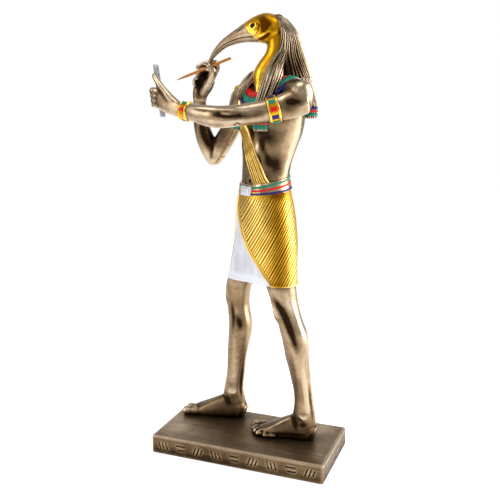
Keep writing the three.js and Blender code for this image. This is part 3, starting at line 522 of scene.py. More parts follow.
def note_hollows_and_painted_shading(mesh, shift, painted_shading):
    """Stores a value for each point, 0 on a crest and 1 in a groove: from relaxed copies, for the patinated
    hollows;
    from how far the point was cut in, darker where cut in and lighter where raised; and from the painted
    shading laid over it, patches of painted shade and painted highlight."""
    fine, broad = 0.11, 0.6  # millimetres that count as a full hollow
    points, edges, normals = read(mesh)
    smooth = relax(points, edges, 0.5, 4)
    smoother = relax(smooth, edges, 0.5, 24)
    small = np.einsum("ij,ij->i", smooth - points, normals) / fine
    large = np.einsum("ij,ij->i", smoother - points, normals) / broad
    value = 0.5 + 0.5 * np.tanh(small + large) - 0.4 * np.asarray(shift) + reach_of(points, painted_shading)
    store(mesh, "hollow", np.clip(value, 0, 1))


def finished(name, mesh, material, slot, nodes):
    """Puts a finished mesh into the scene as a piece of the figure."""
    mesh.name = name
    mesh.shade_smooth()
    mesh.materials.append(material)
    piece = into_scene(name, mesh)
    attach(piece, "root")
    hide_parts(*nodes)
    return piece


def on_figure(shape):
    """The same shape raised from the soles' height to the plinth's top."""
    verts, quads, tris = shape
    return verts + TO_SOLES, quads, tris


# Finishes

def linear(red, green, blue):
    """Scene colour of a screen colour given in 0 to 255: each channel to the power 2.2."""
    return tuple((channel / 255) ** 2.2 for channel in (red, green, blue))


def add(tree, kind, inputs=(), **settings):
    """A node with its settings, each input given a value or joined to another node's output."""
    made = tree.nodes.new("ShaderNode" + kind)
    for key, value in settings.items():
        setattr(made, key, value)
    for key, value in dict(inputs).items():
        if isinstance(value, bpy.types.NodeSocket):
            tree.links.new(value, made.inputs[key])
        else:
            made.inputs[key].default_value = value
    return made


def calc(tree, operation, first, second=0.0, third=0.0):
    return add(tree, "Math", {0: first, 1: second, 2: third}, operation=operation).outputs[0]


def ramp(tree, factor, stops):
    """Colour that runs through the stops, each a place from 0 to 1 and a colour."""
    made = add(tree, "ValToRGB", {"Fac": factor})
    elements = made.color_ramp.elements
    while len(elements) < len(stops):
        elements.new(0.5)
    for element, (place, colour) in zip(elements, stops):
        element.position = place
        element.color = (*colour, 1)
    return made.outputs["Color"]


def noise(tree, place, scale, detail, stretch=(1, 1, 1)):
    """Noise of so many features a metre, drawn out where the stretch is small."""
    lain = add(tree, "Mapping", {"Vector": place, "Scale": stretch}).outputs[0]
    return add(tree, "TexNoise", {"Vector": lain, "Scale": scale, "Detail": detail}).outputs["Fac"]


def lines(tree, sharpness):
    """Thin irregular grooves where the piece's "pleat" value passes a whole number: 1 in the groove."""
    pleat = add(tree, "Attribute", attribute_name="pleat").outputs["Fac"]
    near = calc(tree, "PINGPONG", pleat, 0.5)
    groove = calc(tree, "SUBTRACT", 1.0, add(
        tree, "MapRange", {"Value": near, "From Min": 0.0, "From Max": sharpness},
        interpolation_type="SMOOTHSTEP").outputs[0])
    whole = calc(tree, "ROUND", pleat)
    vary = add(tree, "TexWhiteNoise", {"W": whole}, noise_dimensions="1D").outputs["Value"]
    return calc(tree, "MULTIPLY", groove, calc(tree, "MULTIPLY_ADD", vary, 0.6, 0.4))


def new_material(name):
    """An empty material with the object's place and the stored value of patinated hollows and painted shading
    to read.
    """
    material = bpy.data.materials.new(name)
    material.use_nodes = True
    tree = material.node_tree
    tree.nodes.clear()
    place = add(tree, "TexCoord").outputs["Object"]
    hollow = add(tree, "Attribute", attribute_name="hollow").outputs["Fac"]
    return material, tree, place, hollow


def coat(tree, height, strength, grain, inputs):
    """The material's surface from the shader's inputs and a bump by the height, of a grain in metres."""
    bump = add(tree, "Bump", {"Strength": strength, "Distance": grain, "Height": height}).outputs[0]
    shader = add(tree, "BsdfPrincipled", {**inputs, "Normal": bump})
    add(tree, "OutputMaterial", {"Surface": shader.outputs[0]})


def blend(tree, value, share, base):
    """Base plus share times what the value is above a half."""
    return calc(tree, "MULTIPLY_ADD", calc(tree, "SUBTRACT", value, 0.5), share, base)


def cast_finish(name, bright, middle, dark, roughness, wear, metallic=1.0, stretch=None, pleated=0.0,
                width=None, grain=0.00006, depth=1.0, shaded=0.0):
    """Metal finish: bright on crests, the middle colour between, dark in the hollows, with cloudy variation.
    Painted
    shading goes into the same value: painted shade from ambient occlusion, dark painted lines along the pleat
    grooves, and the piece's stored patches of painted shade and painted highlight.
    """
    material, tree, place, hollow = new_material(name)
    # Painted shade: the value is darkened where ambient occlusion finds the surface closed in, by the share
    # given.
    if shaded:
        open_ = add(tree, "AmbientOcclusion", {"Distance": 0.007}, samples=6).outputs["AO"]
        hollow = calc(tree, "MULTIPLY_ADD", calc(tree, "SUBTRACT", 1.0, open_), shaded, hollow)
    clouds = noise(tree, place, 90, 5)
    blotches = noise(tree, place, 420, 3)
    patina_and_painted_shading = blend(tree, clouds, wear, hollow)
    patina_and_painted_shading = blend(tree, blotches, wear * 0.5, patina_and_painted_shading)
    height = noise(tree, place, 1500, 3)
    if stretch:
        streaks = noise(tree, place, 1, 6, stretch)
        patina_and_painted_shading = blend(tree, streaks, wear * 1.2, patina_and_painted_shading)
        height = calc(tree, "ADD", height, streaks)
    # Painted shade: thin dark lines along the grooves between pleats and between strands, which also sink the
    # bump.
    if pleated:
        grooves = lines(tree, width)
        patina_and_painted_shading = calc(tree, "MULTIPLY_ADD", grooves, pleated, patina_and_painted_shading)
        height = calc(tree, "MULTIPLY_ADD", grooves, -2.5, height)
    colour = ramp(tree, patina_and_painted_shading, [(0.18, bright), (0.48, middle), (0.62 + 0.3 / depth, dark)])
    rough = add(tree, "MapRange", {
        "Value": patina_and_painted_shading, "From Min": 0.1, "From Max": 1.0,
        "To Min": roughness - 0.06, "To Max": roughness + 0.28,
    }).outputs[0]
    coat(tree, height, 0.6, grain, {"Base Color": colour, "Metallic": metallic, "Roughness": rough})
    return material


def enamel_finish(name, colour, deep):
    """Hand-laid enamel: glossy, a little cloudy, darker in its hollows."""
    material, tree, place, hollow = new_material(name)
    clouds = calc(tree, "MULTIPLY_ADD", noise(tree, place, 350, 4), 0.7, calc(tree, "SUBTRACT", hollow, 0.5))
    mixed = ramp(tree, clouds, [(0.25, colour), (0.75, deep)])
    coat(tree, noise(tree, place, 700, 3), 0.5, 0.00005, {
        "Base Color": mixed, "Metallic": 0.0, "Roughness": 0.35, "Specular IOR Level": 0.25})
    return material


# Name of a finish: its metal, the share of the metal's brightness, its slot and its settings
CAST_FINISHES = {
    "bronze finish": ("bronze", 1, "bronze", {"roughness": 0.3, "wear": 0.4, "shaded": 0.7}),
    "hair finish": ("bronze", 0.9, "bronze", {
        "roughness": 0.3, "wear": 0.3, "depth": 2.0, "pleated": 0.75, "width": 0.25}),
    # Painted shade: the plinth's bronze is a darker copy of the figure's, at 0.85 of its brightness.
    "plinth finish": ("bronze", 0.85, "plinth_bronze", {
        "roughness": 0.33, "wear": 0.35, "stretch": (900, 14, 900), "shaded": 0.5}),
    "gold finish": ("gold", 1, "gold", {"roughness": 0.26, "wear": 0.3, "shaded": 0.3}),
    "pleated gold finish": ("pale gold", 1, "gold", {
        "roughness": 0.36, "wear": 0.3, "pleated": 0.4, "width": 0.08}),
    "sash finish": ("pale gold", 1, "gold", {
        "roughness": 0.4, "wear": 0.3, "pleated": 0.35, "grain": 0.00012, "width": 0.1}),
    "silver finish": ("silver", 1, "silver", {
        "roughness": 0.5, "wear": 0.5, "stretch": (700, 700, 25), "metallic": 0.15}),
    "palette finish": ("silver", 0.6, "palette_silver", {"roughness": 0.5, "wear": 0.2, "metallic": 0.1}),
    "reed finish": ("reed", 1, "reed", {"roughness": 0.55, "wear": 0.1, "metallic": 0.0, "grain": 0.0}),
}
# Name of an enamel: its slot and the share of its brightness that its dark places have. Black's are fixed.
ENAMELS = {
    "green enamel": ("enamel_green", 0.35), "red enamel": ("enamel_red", 0.4),
    "blue enamel": ("enamel_blue", 0.4), "black enamel": ("bronze", None),
}


def finish(name):
    """The named finish, made once from the colours of the panel."""
    if name in bpy.data.materials:
        return bpy.data.materials[name]
    c = bpy.context.scene.ibis_colours
    if name == "black enamel":
        return enamel_finish(name, (0.004, 0.003, 0.003), (0.002, 0.002, 0.002))
    if name in ENAMELS:
        colour = tuple(getattr(c, name.split()[0]))
        return enamel_finish(name, colour, tuple(v * ENAMELS[name][1] for v in colour))
    metal, share, _, settings = CAST_FINISHES[name]
    tones = {
        "bronze": (c.bronze_bright, c.bronze, c.bronze_dark), "gold": (c.gold_bright, c.gold, c.gold_dark),
        "silver": (c.silver_bright, c.silver, c.silver_dark),
        "pale gold": (linear(238, 204, 124), linear(200, 154, 48), linear(96, 60, 8)),
        "reed": (linear(194, 122, 26), linear(168, 92, 10), linear(112, 58, 8)),
    }[metal]
    return cast_finish(name, *(tuple(share * v for v in tone) for tone in tones), **settings)


def piece(name, shape, finish_name, nodes=("figure",), strokes=(), painted_shading=(), pleat=None):
    """Makes one piece from a shape or a finished mesh, carves it and dresses it."""
    mesh = shape if isinstance(shape, bpy.types.Mesh) else mesh_from(name, shape)
    note_hollows_and_painted_shading(mesh, carve(mesh, strokes) if strokes else 0.0, painted_shading)
    if pleat is not None:
        store(mesh, "pleat", pleat)
    slot = ENAMELS[finish_name][0] if finish_name in ENAMELS else CAST_FINISHES[finish_name][2]
    return finished(name, mesh, finish(finish_name), slot, nodes)


def enamel_pieces(prefix, colours):
    """One piece of the figure for each colour of enamel, from the shapes listed under it."""
    for colour, shapes in colours.items():
        piece(prefix + colour, on_figure(joined(shapes)), colour + " enamel")


def path_on(table, places, height=0.0, **form):
    """Points on a table's surface from place to place, each a place along and an angle."""
    places = np.array(places, float)
    steps = np.linspace(0, len(places) - 1, 8 * (len(places) - 1) + 1)
    u, angle = (np.interp(steps, range(len(places)), places[:, c]) for c in (0, 1))
    return surface(table, u, angle, height, **form) + TO_SOLES


def marks(table, listed, **form):
    """Fading strokes on a table's surface: each is its places, width and height."""
    return [(path_on(table, places, **form), width, height, True) for places, width, height in listed]


# Body

FLAT = {"squareness": TRUNK_SQUARENESS, "level": True}
UPRIGHT = {"side": UP}
TRUNK_SPOTS = [
    [0.30, 58, 0.09, 24, 1.8], [0.30, 122, 0.09, 24, 1.8], [0.36, 90, 0.16, 9, -1.2], [0.60, 90, 0.14, 5, -0.8],
    [0.34, 240, 0.12, 20, 1.2], [0.34, 300, 0.12, 20, 1.2], [0.50, 270, 0.25, 9, -1.4],
    [0.62, 256, 0.16, 8, 0.5], [0.62, 284, 0.16, 8, 0.5], [0.47, 12, 0.08, 16, 0.5], [0.47, 168, 0.08, 16, 0.5],
]
CHEST_SPOTS = TRUNK_SPOTS[:7]
KNEE_SPOTS = [
    [0.40, 90, 0.035, 26, 0.9], [0.44, 90, 0.03, 20, -0.4], [0.48, 90, 0.03, 14, 0.5],
    [0.53, 215, 0.07, 40, 0.8], [0.51, 325, 0.07, 40, 0.7],
]


def body_shape():
    """Trunk, shoulders, arms and hands as overlapping skins."""
    parts = [
        skin(TRUNK, 70, 120, lambda u, a: bumps(TRUNK_SPOTS, u, a), (0.09, 0.86), **FLAT),
        skin(YOKE, 40, 48, start_round=0.9, end_round=0.85, **UPRIGHT),
        skin(LEFT_ARM, 90, 64, **UPRIGHT),
        skin(RIGHT_UPPER_ARM, 44, 56, end_round=0.8),
        skin(RIGHT_FOREARM, 44, 56, start_round=0.8),
        skin(LEFT_PALM, 24, 44, squareness=2.4, **UPRIGHT),
        skin(RIGHT_PALM, 20, 44, squareness=2.4, side=(0, 1, 0)),
        skin(LEFT_THUMB, 30, 24, knuckle, end_round=0.9),
        skin(LEFT_WEB, 20, 32, **UPRIGHT),
        skin(RIGHT_THUMB, 30, 24, knuckle, end_round=0.9),
    ]
    parts += [skin(table, 34, 24, knuckle, end_round=0.9, **UPRIGHT) for table in LEFT_FINGERS]
    parts += [skin(table, 34, 24, knuckle, end_round=0.9, side=(0, 0.3, 1)) for table in RIGHT_FINGERS]
    return tubes(parts)


def knuckle(u, angle):
    """A finger swells at its joints and narrows between them."""
    return 0.14 * np.cos((u - 0.36) * 2 * np.pi / 0.34) * bell(u - 0.5, 0.35) + 0 * angle


def body_strokes():
    trunk = [
        ([(0.38, 90), (0.56, 88), (0.74, 86)], 1.3, -0.6), ([(0.744, 84)], 1.4, -1.5),
        ([(0.20, 270), (0.5, 270), (0.86, 270)], 2.2, -0.9),
        ([(0.22, 244), (0.42, 226)], 3.0, -0.35), ([(0.22, 296), (0.42, 314)], 3.0, -0.35),
    ]
    for m in (lambda a: a, lambda a: 180 - a):
        trunk += [
            ([(0.42, m(80)), (0.46, m(64)), (0.56, m(46)), (0.66, m(34))], 2.8, -0.45),
            ([(0.44, m(66)), (0.58, m(62)), (0.76, m(66))], 2.6, -0.3),
            ([(0.60, m(46)), (0.72, m(12)), (0.76, m(-20))], 3.2, 0.3),
        ]
    left_arm = [
        ([(0.37, 258), (0.44, 266), (0.52, 275), (0.60, 283), (0.68, 291)], 2.6, -0.9),
        ([(0.45, 277), (0.515, 283), (0.58, 290)], 1.2, 0.6),
        ([(0.44, 208), (0.476, 228)], 0.7, -0.6), ([(0.468, 204), (0.49, 222)], 0.6, -0.5),
        ([(0.27, 268), (0.35, 262), (0.43, 258)], 2.4, -0.5), ([(0.28, 60), (0.44, 66)], 2.0, -0.5),
        ([(0.17, 300), (0.02, 262)], 2.2, -0.6), ([(0.54, 330), (0.68, 326), (0.84, 322)], 1.5, 0.4),
        ([(0.60, 306), (0.72, 302), (0.86, 300)], 1.3, -0.35),
        ([(0.52, 240), (0.66, 246), (0.84, 250)], 1.6, 0.35), ([(0.60, 100), (0.88, 100)], 1.0, 0.4),
    ]
    upper = [
        ([(0.1, 60), (0.8, 70)], 2.0, -0.5), ([(0.1, 300), (0.75, 290)], 2.0, -0.5),
        ([(0.86, 220), (0.9, 320)], 1.2, -0.4),
    ]
    forearm = [
        ([(0.1, 30), (0.65, 20)], 2.2, -0.7), ([(0.5, 60), (0.95, 66)], 1.0, 0.5),
        ([(0.45, 330), (0.95, 340)], 1.1, -0.4),
        ([(0.55, 96), (0.98, 92)], 0.9, 0.4), ([(0.15, 200), (0.65, 190)], 2.0, -0.5),
    ]
    strokes = marks(TRUNK, trunk, **FLAT) + marks(LEFT_ARM, left_arm, **UPRIGHT)
    strokes += marks(RIGHT_UPPER_ARM, upper) + marks(RIGHT_FOREARM, forearm)
    for table in LEFT_FINGERS:
        creases = [([(u, 240), (u + 0.02, 300)], 0.5, -0.35) for u in (0.28, 0.60)]
        strokes += marks(table, creases, **UPRIGHT)
    for table in RIGHT_FINGERS:
        strokes += marks(table, [([(0.36, 330), (0.36, 390)], 0.45, -0.25)], side=(0, 0.3, 1))
    return strokes


def body_painted_shading():
    """Patches of painted shade and painted highlight on the bronze: positive values darken, negative ones
    brighten.
    """
    trunk = [
        ([(0.30, 70), (0.44, 54), (0.52, 36)], 8.0, 0.5), ([(0.48, 44), (0.62, 24), (0.78, 24)], 8.0, 0.5),
        ([(0.34, 84), (0.46, 76), (0.56, 64)], 2.6, -0.35), ([(0.60, 50), (0.70, 48)], 4.0, -0.25),
        ([(0.30, -30), (0.5, -24), (0.8, -30)], 6.0, -0.5),
    ]
    left_arm = [
        ([(0.36, 257), (0.42, 262), (0.48, 268), (0.56, 275), (0.66, 290)], 1.3, 0.4),
        ([(0.40, 268), (0.50, 290), (0.60, 300), (0.68, 296)], 1.1, 0.4),
        ([(0.50, 240), (0.70, 250), (0.90, 250)], 2.6, 0.22),
        ([(0.46, 322), (0.66, 325), (0.86, 325)], 2.0, -0.25),
        ([(0.04, 290), (0.12, 270), (0.22, 250)], 5.0, 0.5), ([(0.10, 320), (0.24, 330)], 3.0, -0.2),
    ]
    thumb = [([(0.1, a), (0.5, a), (0.9, a)], 1.6, 0.3) for a in (0, 120, 240)]
    right_hand = np.array([[-14, -42, 236], [-11, -38, 243], [-8, -34, 252]], float) + TO_SOLES
    palm = [
        ([(0.3, 60), (0.9, 80)], 4.0, 0.6), ([(0.3, 100), (0.9, 100)], 4.0, 0.6),
        ([(0.1, 0), (0.9, 0)], 4.0, 0.3),
    ]
    forearm = [([(0.1, 60), (0.5, 50), (0.9, 60)], 4.0, 0.4), ([(0.1, 0), (0.5, 0), (0.9, 0)], 4.0, 0.4)]
    upper = [([(0.2, 0), (0.9, 0)], 5.0, 0.45), ([(0.2, 60), (0.9, 60)], 5.0, 0.4)]
    return (marks(TRUNK, trunk, **FLAT) + marks(LEFT_ARM, left_arm, **UPRIGHT)
            + marks(RIGHT_PALM, palm, squareness=2.4, side=(0, 1, 0))
            + marks(RIGHT_FOREARM, forearm) + marks(RIGHT_UPPER_ARM, upper) + marks(LEFT_THUMB, thumb)
            + [(right_hand, 9, 0.32)])


# Legs and feet

def foot_place(heel):
    """Turns a foot's own rows, drawn from its heel, into rows of the figure."""
    turn = math.radians(heel["turn"])
    forward = np.array([math.sin(turn), -math.cos(turn)])
    inward = np.array([math.cos(turn), math.sin(turn)]) * heel["inner"]

    def place(row):
        spot = np.array(heel["at"]) + forward * row[0] + inward * row[1]
        return [*spot, *row[2:]]
    return place


def leg_shape(table, heel):
    """Leg, foot and toes as overlapping skins, flat under the sole."""
    place = foot_place(heel)
    foot = skin([place(row) for row in FOOT], 60, 72, squareness=2.3, start_round=0.5, end_round=0.3)
    toes = [skin([place(row) for row in toe], 26, 32, toe_relief, end_round=0.9) for toe in TOES]
    parts = [skin(table, 120, 80, lambda u, a: bumps(KNEE_SPOTS, u, a), (0.2, 1)), foot, *toes]
    for points in parts[1:]:
        points[..., 2] = np.maximum(points[..., 2], -0.25)
    return tubes(parts)


def toe_relief(u, angle):
    """A toe is raised at its joint and behind its nail."""
    return 0.25 * bell(u - 0.35, 0.14) - 0.15 * bell(u - 0.62, 0.1) + 0 * angle


def leg_strokes(table, heel, outer):
    """Outer is the angle of the leg's outer side: 0 on the left leg and 180 on the right. The listed angles are
    the left leg's."""
    way = 1 if outer == 0 else -1
    listed = [
        ([(0.33, 60), (0.37, 52), (0.42, 46)], 2.6, 0.7), ([(0.33, 118), (0.42, 126)], 2.6, 0.6),
        ([(0.42, 90)], 2.6, 0.5), ([(0.34, 90)], 4.0, 0.5),
        ([(0.30, 18), (0.37, 8), (0.45, 3), (0.54, -8), (0.62, -20)], 2.4, -0.8),
        ([(0.28, -34), (0.40, -46), (0.50, -62), (0.60, -72)], 3.0, 0.2),
        ([(0.40, 160), (0.50, 156), (0.60, 150)], 2.2, -0.6), ([(0.44, 86), (0.66, 86), (0.92, 90)], 1.5, 0.55),
        ([(0.46, 58), (0.66, 62), (0.90, 66)], 2.0, -0.45), ([(0.56, 20), (0.70, 24), (0.86, 28)], 2.2, -0.3),
        ([(0.60, 250), (0.76, 262), (0.94, 270)], 1.8, 0.6),
        ([(0.74, -62), (0.86, -60), (0.97, -58)], 2.0, -0.7),
        ([(0.74, 236), (0.86, 238), (0.97, 240)], 2.0, -0.7),
        ([(0.66, -32), (0.80, -30), (0.92, -26)], 1.5, 0.4), ([(0.90, -6), (0.925, -2), (0.935, 6)], 2.6, 0.6),
        ([(0.905, 182)], 3.2, 0.8),
    ]
    leg = [([(u, outer + way * a) for u, a in places], width, height) for places, width, height in listed]
    strokes = marks(table, leg)
    place = foot_place(heel)

    def line(start, end):
        first, last = np.array(place(start), float), np.array(place(end), float)
        return np.array([first, (first + last) / 2, last]) + TO_SOLES
    for aside, far in ((4.4, 5.2), (1.6, 1.4), (-0.9, -1.6), (-3.2, -4.4), (-5, -6.6)):
        strokes.append((line([15, aside * 0.3, 17], [36, far, 7.6 - 0.2 * abs(far)]), 0.8, 0.4, True))
    strokes.append((line([6, -6.4, 5], [33, -7.6, 3.4]), 1.3, -0.35, True))
    for x, aside, far in ((37, 3.6, 3.9), (36, 0.3, 0.1), (35, -2.8, -3.4), (33, -5.4, -6.2)):
        strokes.append((line([x - 1, aside, 6], [x + 8, far, 4]), 0.6, -0.6, True))
    for toe, width in zip(TOES, (1.5, 1.1, 1.05, 1.0, 1.0)):
        tip = along(rows_of([place(row) for row in toe]), np.array([0.84, 1.0]))
        nail = tip[:, :3] + UP * (tip[:, 4:5] + SOLE_HEIGHT)
        strokes += [(nail, width * 1.5, -0.3), (nail, width, 0.5)]
    return strokes


def leg_patina_and_painted_shading(table, heel, outer):
    """Patches on the bronze of a leg, partly patination and partly painted shade and painted highlight:
    positive values darken, negative ones brighten.
    """
    seen = [
        ([(0.29, 30), (0.33, 22), (0.37, 8), (0.44, 2), (0.51, -8), (0.60, -22)], 2.7, 0.75),
        ([(0.24, -30), (0.36, -40), (0.48, -56), (0.58, -66)], 2.4, -0.35),
        ([(0.945, -24), (0.957, -4), (0.955, 16)], 1.5, 0.5), ([(0.90, 30), (0.99, 20)], 3.0, 0.3),
        ([(0.60, -34), (0.76, -32), (0.92, -26)], 1.7, -0.3), ([(0.56, 16), (0.74, 12), (0.92, 16)], 2.4, 0.22),
        ([(0.86, 60), (0.99, 40)], 2.6, 0.3),
    ] if outer == 0 else [
        ([(0.34, 60), (0.38, 64), (0.46, 58)], 2.0, 0.4), ([(0.48, 8), (0.52, -10), (0.57, -20)], 2.6, 0.6),
        ([(0.46, 40), (0.66, 8), (0.88, -12)], 2.2, -0.15), ([(0.30, 20), (0.6, 10), (0.9, 10)], 7.0, 0.18),
        ([(0.60, -60), (0.76, -62), (0.94, -62)], 2.4, 0.35), ([(0.50, 80), (0.66, 70), (0.84, 60)], 1.6, 0.3),
        ([(0.90, 30), (0.99, 20)], 3.0, 0.3),
    ]
    place = foot_place(heel)
    foot = np.array([place([3, 0, 6]), place([14, 0, 8]), place([34, 0, 4])], float) + TO_SOLES
    return marks(table, seen) + [(foot, 10, 0.42)]


# Head

EYE = surface(SKULL, np.array([0.647]), np.array([14.5]))[0] + TO_SOLES


def head_shape():
    """Skull and the neck that curves forward under the beak, as overlapping skins."""
    return tubes([skin(SKULL, 50, 80, start_round=0.5), skin(NECK, 80, 60, end_round=0.8)])


def eye_ring(radius):
    """Circle round the eye on the side of the head."""
    turn = np.linspace(0, 2 * np.pi, 24)
    return np.stack([0 * turn + EYE[0], EYE[1] + radius * np.cos(turn), EYE[2] + radius * np.sin(turn)], 1)


def face_edge(points):
    """How far a point of the head is in front of the slanted edge between its gold and the beak."""
    start, slant = 281.7, 1.02
    ahead = start + slant * SOLE_HEIGHT - points[:, 1] - slant * points[:, 2]
    return ahead / math.hypot(1, slant)


def tuck_in(mesh):
    """Draws the head in by up to 0.14 of its radius in front of that edge, under the root of the beak."""
    beak_height, throat, nape = 275.3, 263, 14
    points, _, _ = read(mesh)
    middle = points * [0, 1, 0] + UP * (beak_height + SOLE_HEIGHT + 0.2 * points[:, 1:2])
    share = np.clip(face_edge(points) / 0.7, 0, 1)[:, None]
    share = share * np.clip((points[:, 2:3] - SOLE_HEIGHT - throat) / 3, 0, 1) * (points[:, 1:2] < nape)
    write(mesh, points + 0.14 * share * (middle - points))


def both_sides(strokes):
    """Strokes on the head's left side, then the same on its right."""
    return strokes + [(path * [-1, 1, 1], *rest) for path, *rest in strokes]


def head_strokes():
    return both_sides([(eye_ring(2.3), 0.45, 0.34), (eye_ring(1.5), 0.5, -0.3)] + marks(SKULL, [
        ([(0.62, -42), (0.53, -36), (0.42, -29), (0.30, -10), (0.24, 10)], 1.1, 0.55),
        ([(0.66, -60), (0.48, -48), (0.34, -31), (0.26, -15)], 0.9, -0.5),
        ([(0.78, 50), (0.62, 30), (0.50, 10), (0.52, -10), (0.62, -30), (0.72, -42)], 0.55, -0.25),
    ]))


def head_painted_shading():
    # Painted shade: a broad dark band and a dark line on each side of the head; painted highlight: a lighter
    # strip by the eye.
    cheek = path_on(SKULL, [(0.70, 10), (0.64, -15), (0.70, -30)])
    return both_sides(marks(SKULL, [
        ([(0.62, 62), (0.46, 38), (0.38, 12), (0.40, -10), (0.48, -26)], 4.2, 0.85),
        ([(0.70, -64), (0.48, -52), (0.34, -34), (0.24, -20)], 1.6, 0.5),
    ]) + [(cheek, 1.8, -0.3)])


def beak_relief(u, angle):
    """Closed beak: a mouth line on each side, nostrils with a groove to the tip, and a rounded ridge."""
    u = np.clip(1.114 * u - 0.114, 0, 1)
    side = np.minimum(np.abs((angle + 540) % 360 - 180), np.abs((angle + 360) % 360 - 180))
    up = np.where((angle % 360) < 180, 1, -1)
    mouth, nostril, groove = -38 + 30 * u, 29, 29 - 10 * u
    height = -0.4 * bell(up * side - mouth, 5) + 0.14 * bell(up * side - mouth - 12, 8)
    height = height - 0.5 * np.exp(-(((up * side - nostril) / 6) ** 2) - ((u - 0.2) / 0.045) ** 2)
    height = height - 0.16 * bell(up * side - groove, 4) * np.clip((u - 0.2) * 8, 0, 1)
    return height * np.clip((1 - u) * 4, 0, 1)


def eye_shape():
    """Two round pupils: each a dome whose height falls as the square root of 1 - r squared."""
    r = np.sin(np.linspace(0.03, np.pi - 0.03, 20))[:, None]
    rise = np.cos(np.linspace(0.03, np.pi - 0.03, 20))[:, None]
    turn = np.linspace(0, 2 * np.pi, 32, endpoint=False)[None]
    across, along_, up = -0.7 * rise + 0 * turn, 1.4 * r * np.cos(turn), -1.4 * r * np.sin(turn)
    points = np.stack([across + EYE[0] - 0.1, EYE[1] + along_, EYE[2] + up], 2)
    return tubes([points[:, ::-1], points * [-1, 1, 1]])


# Wig

def strand_phase(count, u, angle):
    """Number of strands counted round a lock, a little uneven in width and course."""
    phase = angle / 360 * count
    return phase + 0.22 * np.sin(angle / 9 + 5 * u) + 0.14 * np.sin(angle / 3.7 - 9 * u + 1)


def strands(count, height):
    """Hair strands: rounded ridges with a valley between, where the strand's number is a half."""
    def relief(u, angle):
        phase = strand_phase(count, u, angle)
        ridge = np.abs(np.cos(np.pi * phase))
        return height * (1.7 * ridge - 1.0 + 0.25 * np.sin(phase * 3.1 + 2)) * np.clip(u * 5 + 0.15, 0, 1)
    return relief


def lock_of_hair(table, rings, sides, count, height, span=(0, 1), **form):
    """Shape of a lock of hair and the "pleat" value that marks the valleys between its strands."""
    rounds = {key: form[key] for key in ("start_round", "end_round") if key in form}
    points = skin(table, rings, sides, strands(count, height), span, **form)
    u, angle, _, _ = ring_places(rings, sides, span, **rounds)
    phase = strand_phase(count, u, angle) + 0.5
    return on_figure(tube(points)), np.concatenate([phase.ravel(), [0.5, 0.5]])


# Collar

def collar_point(v, angle, height):
    """Point of the collar: v runs from its inner edge to its outer edge, height is off its surface."""
    centre, _, across, front = frames(TRUNK, np.array(0.16), level=True)
    rows = np.array(COLLAR, float)
    v, angle = np.broadcast_arrays(v, angle)

    def at(v, angle):
        row = np.stack([np.interp(v, [0, 0.54, 0.83, 1], rows[:, c]) for c in range(6)], -1)
        c = signed_power(np.cos(np.radians(angle)), 2 / TRUNK_SQUARENESS)
        s = signed_power(np.sin(np.radians(angle)), 2 / TRUNK_SQUARENESS)
        depth = np.where(s > 0, row[..., 1], row[..., 2])
        end = np.where(s > 0, row[..., 4], row[..., 5])
        z = row[..., 3] + (end - row[..., 3]) * np.abs(np.sin(np.radians(angle))) ** 1.6
        flat = centre[:3] * [1, 1, 0] + across * (row[..., 0] * c)[..., None] + front * (depth * s)[..., None]
        return flat + UP * z[..., None]
    down = at(np.minimum(v + 0.01, 1), angle) - at(np.maximum(v - 0.01, 0), angle)
    round_ = at(v, angle + 0.5) - at(v, angle - 0.5)
    return at(v, angle) + unit(np.cross(round_, down)) * np.broadcast_to(height, v.shape)[..., None]


def collar_band(first, last, top):
    """Ring of the collar between two places across it, with rounded edges standing on the chest."""
    low, sides = -0.8, 240
    v = np.concatenate([[first], np.linspace(first, last, 8), [last]])[:, None]
    height = np.concatenate([[low], top * np.array([0.3, 0.85, 1, 1, 1, 1, 0.85, 0.3]), [low]])[:, None]
    angle = np.arange(sides)[None] * 360 / sides
    return ring_band(collar_point(v + 0 * angle, angle + 0 * v, height + 0 * angle))


# Sash

def sash_shape(table):
    """Band over the trunk: P(t) + across w + out h, where t runs along it and w over its width."""
    rows, columns = 160, 40
    steps = np.array([[u * 100, a, 0, w, h] for u, a, w, h in table], float)

    def on_trunk(t, rise):
        row = along(steps, t)
        u, angle = row[:, 0] / 100, row[:, 1]
        return surface(TRUNK, u, angle, bumps(CHEST_SPOTS, u, angle) + rise, **FLAT), row[:, 3], row[:, 4]
    t = np.linspace(0, 1, rows)
    spine, width, top = on_trunk(t, 0)
    way = unit(on_trunk(np.minimum(t + 0.02, 1), 0)[0] - on_trunk(np.maximum(t - 0.02, 0), 0)[0])
    out = on_trunk(t, 4)[0] - spine
    out = unit(out - way * np.einsum("ij,ij->i", out, way)[:, None])
    across = np.cross(out, way)
    w = np.linspace(1, -1, columns)
    folds = 0.16 * np.cos(w * np.pi * 7 + 0.6) + 0.12 * np.cos(w * np.pi * 3 + 2)
    edge = 0.35 * bell(np.abs(w) - 0.93, 0.07)
    height = folds * (np.abs(w) < 0.9) + edge - 0.8 * np.clip(np.abs(w) - 0.95, 0, 1) * 20
    w = np.concatenate([[-1, 0, 1], w])
    height = np.concatenate([np.full(3, -3.4), height]) + top[:, None]
    aside = across[:, None] * (w[None] * width[:, None])[..., None]
    points = spine[:, None] + aside + out[:, None] * height[..., None]
    pleat = np.broadcast_to(w * 5.5 + 20, (rows, columns + 3)).ravel()
    return tube(points), np.concatenate([pleat, [20, 20]])


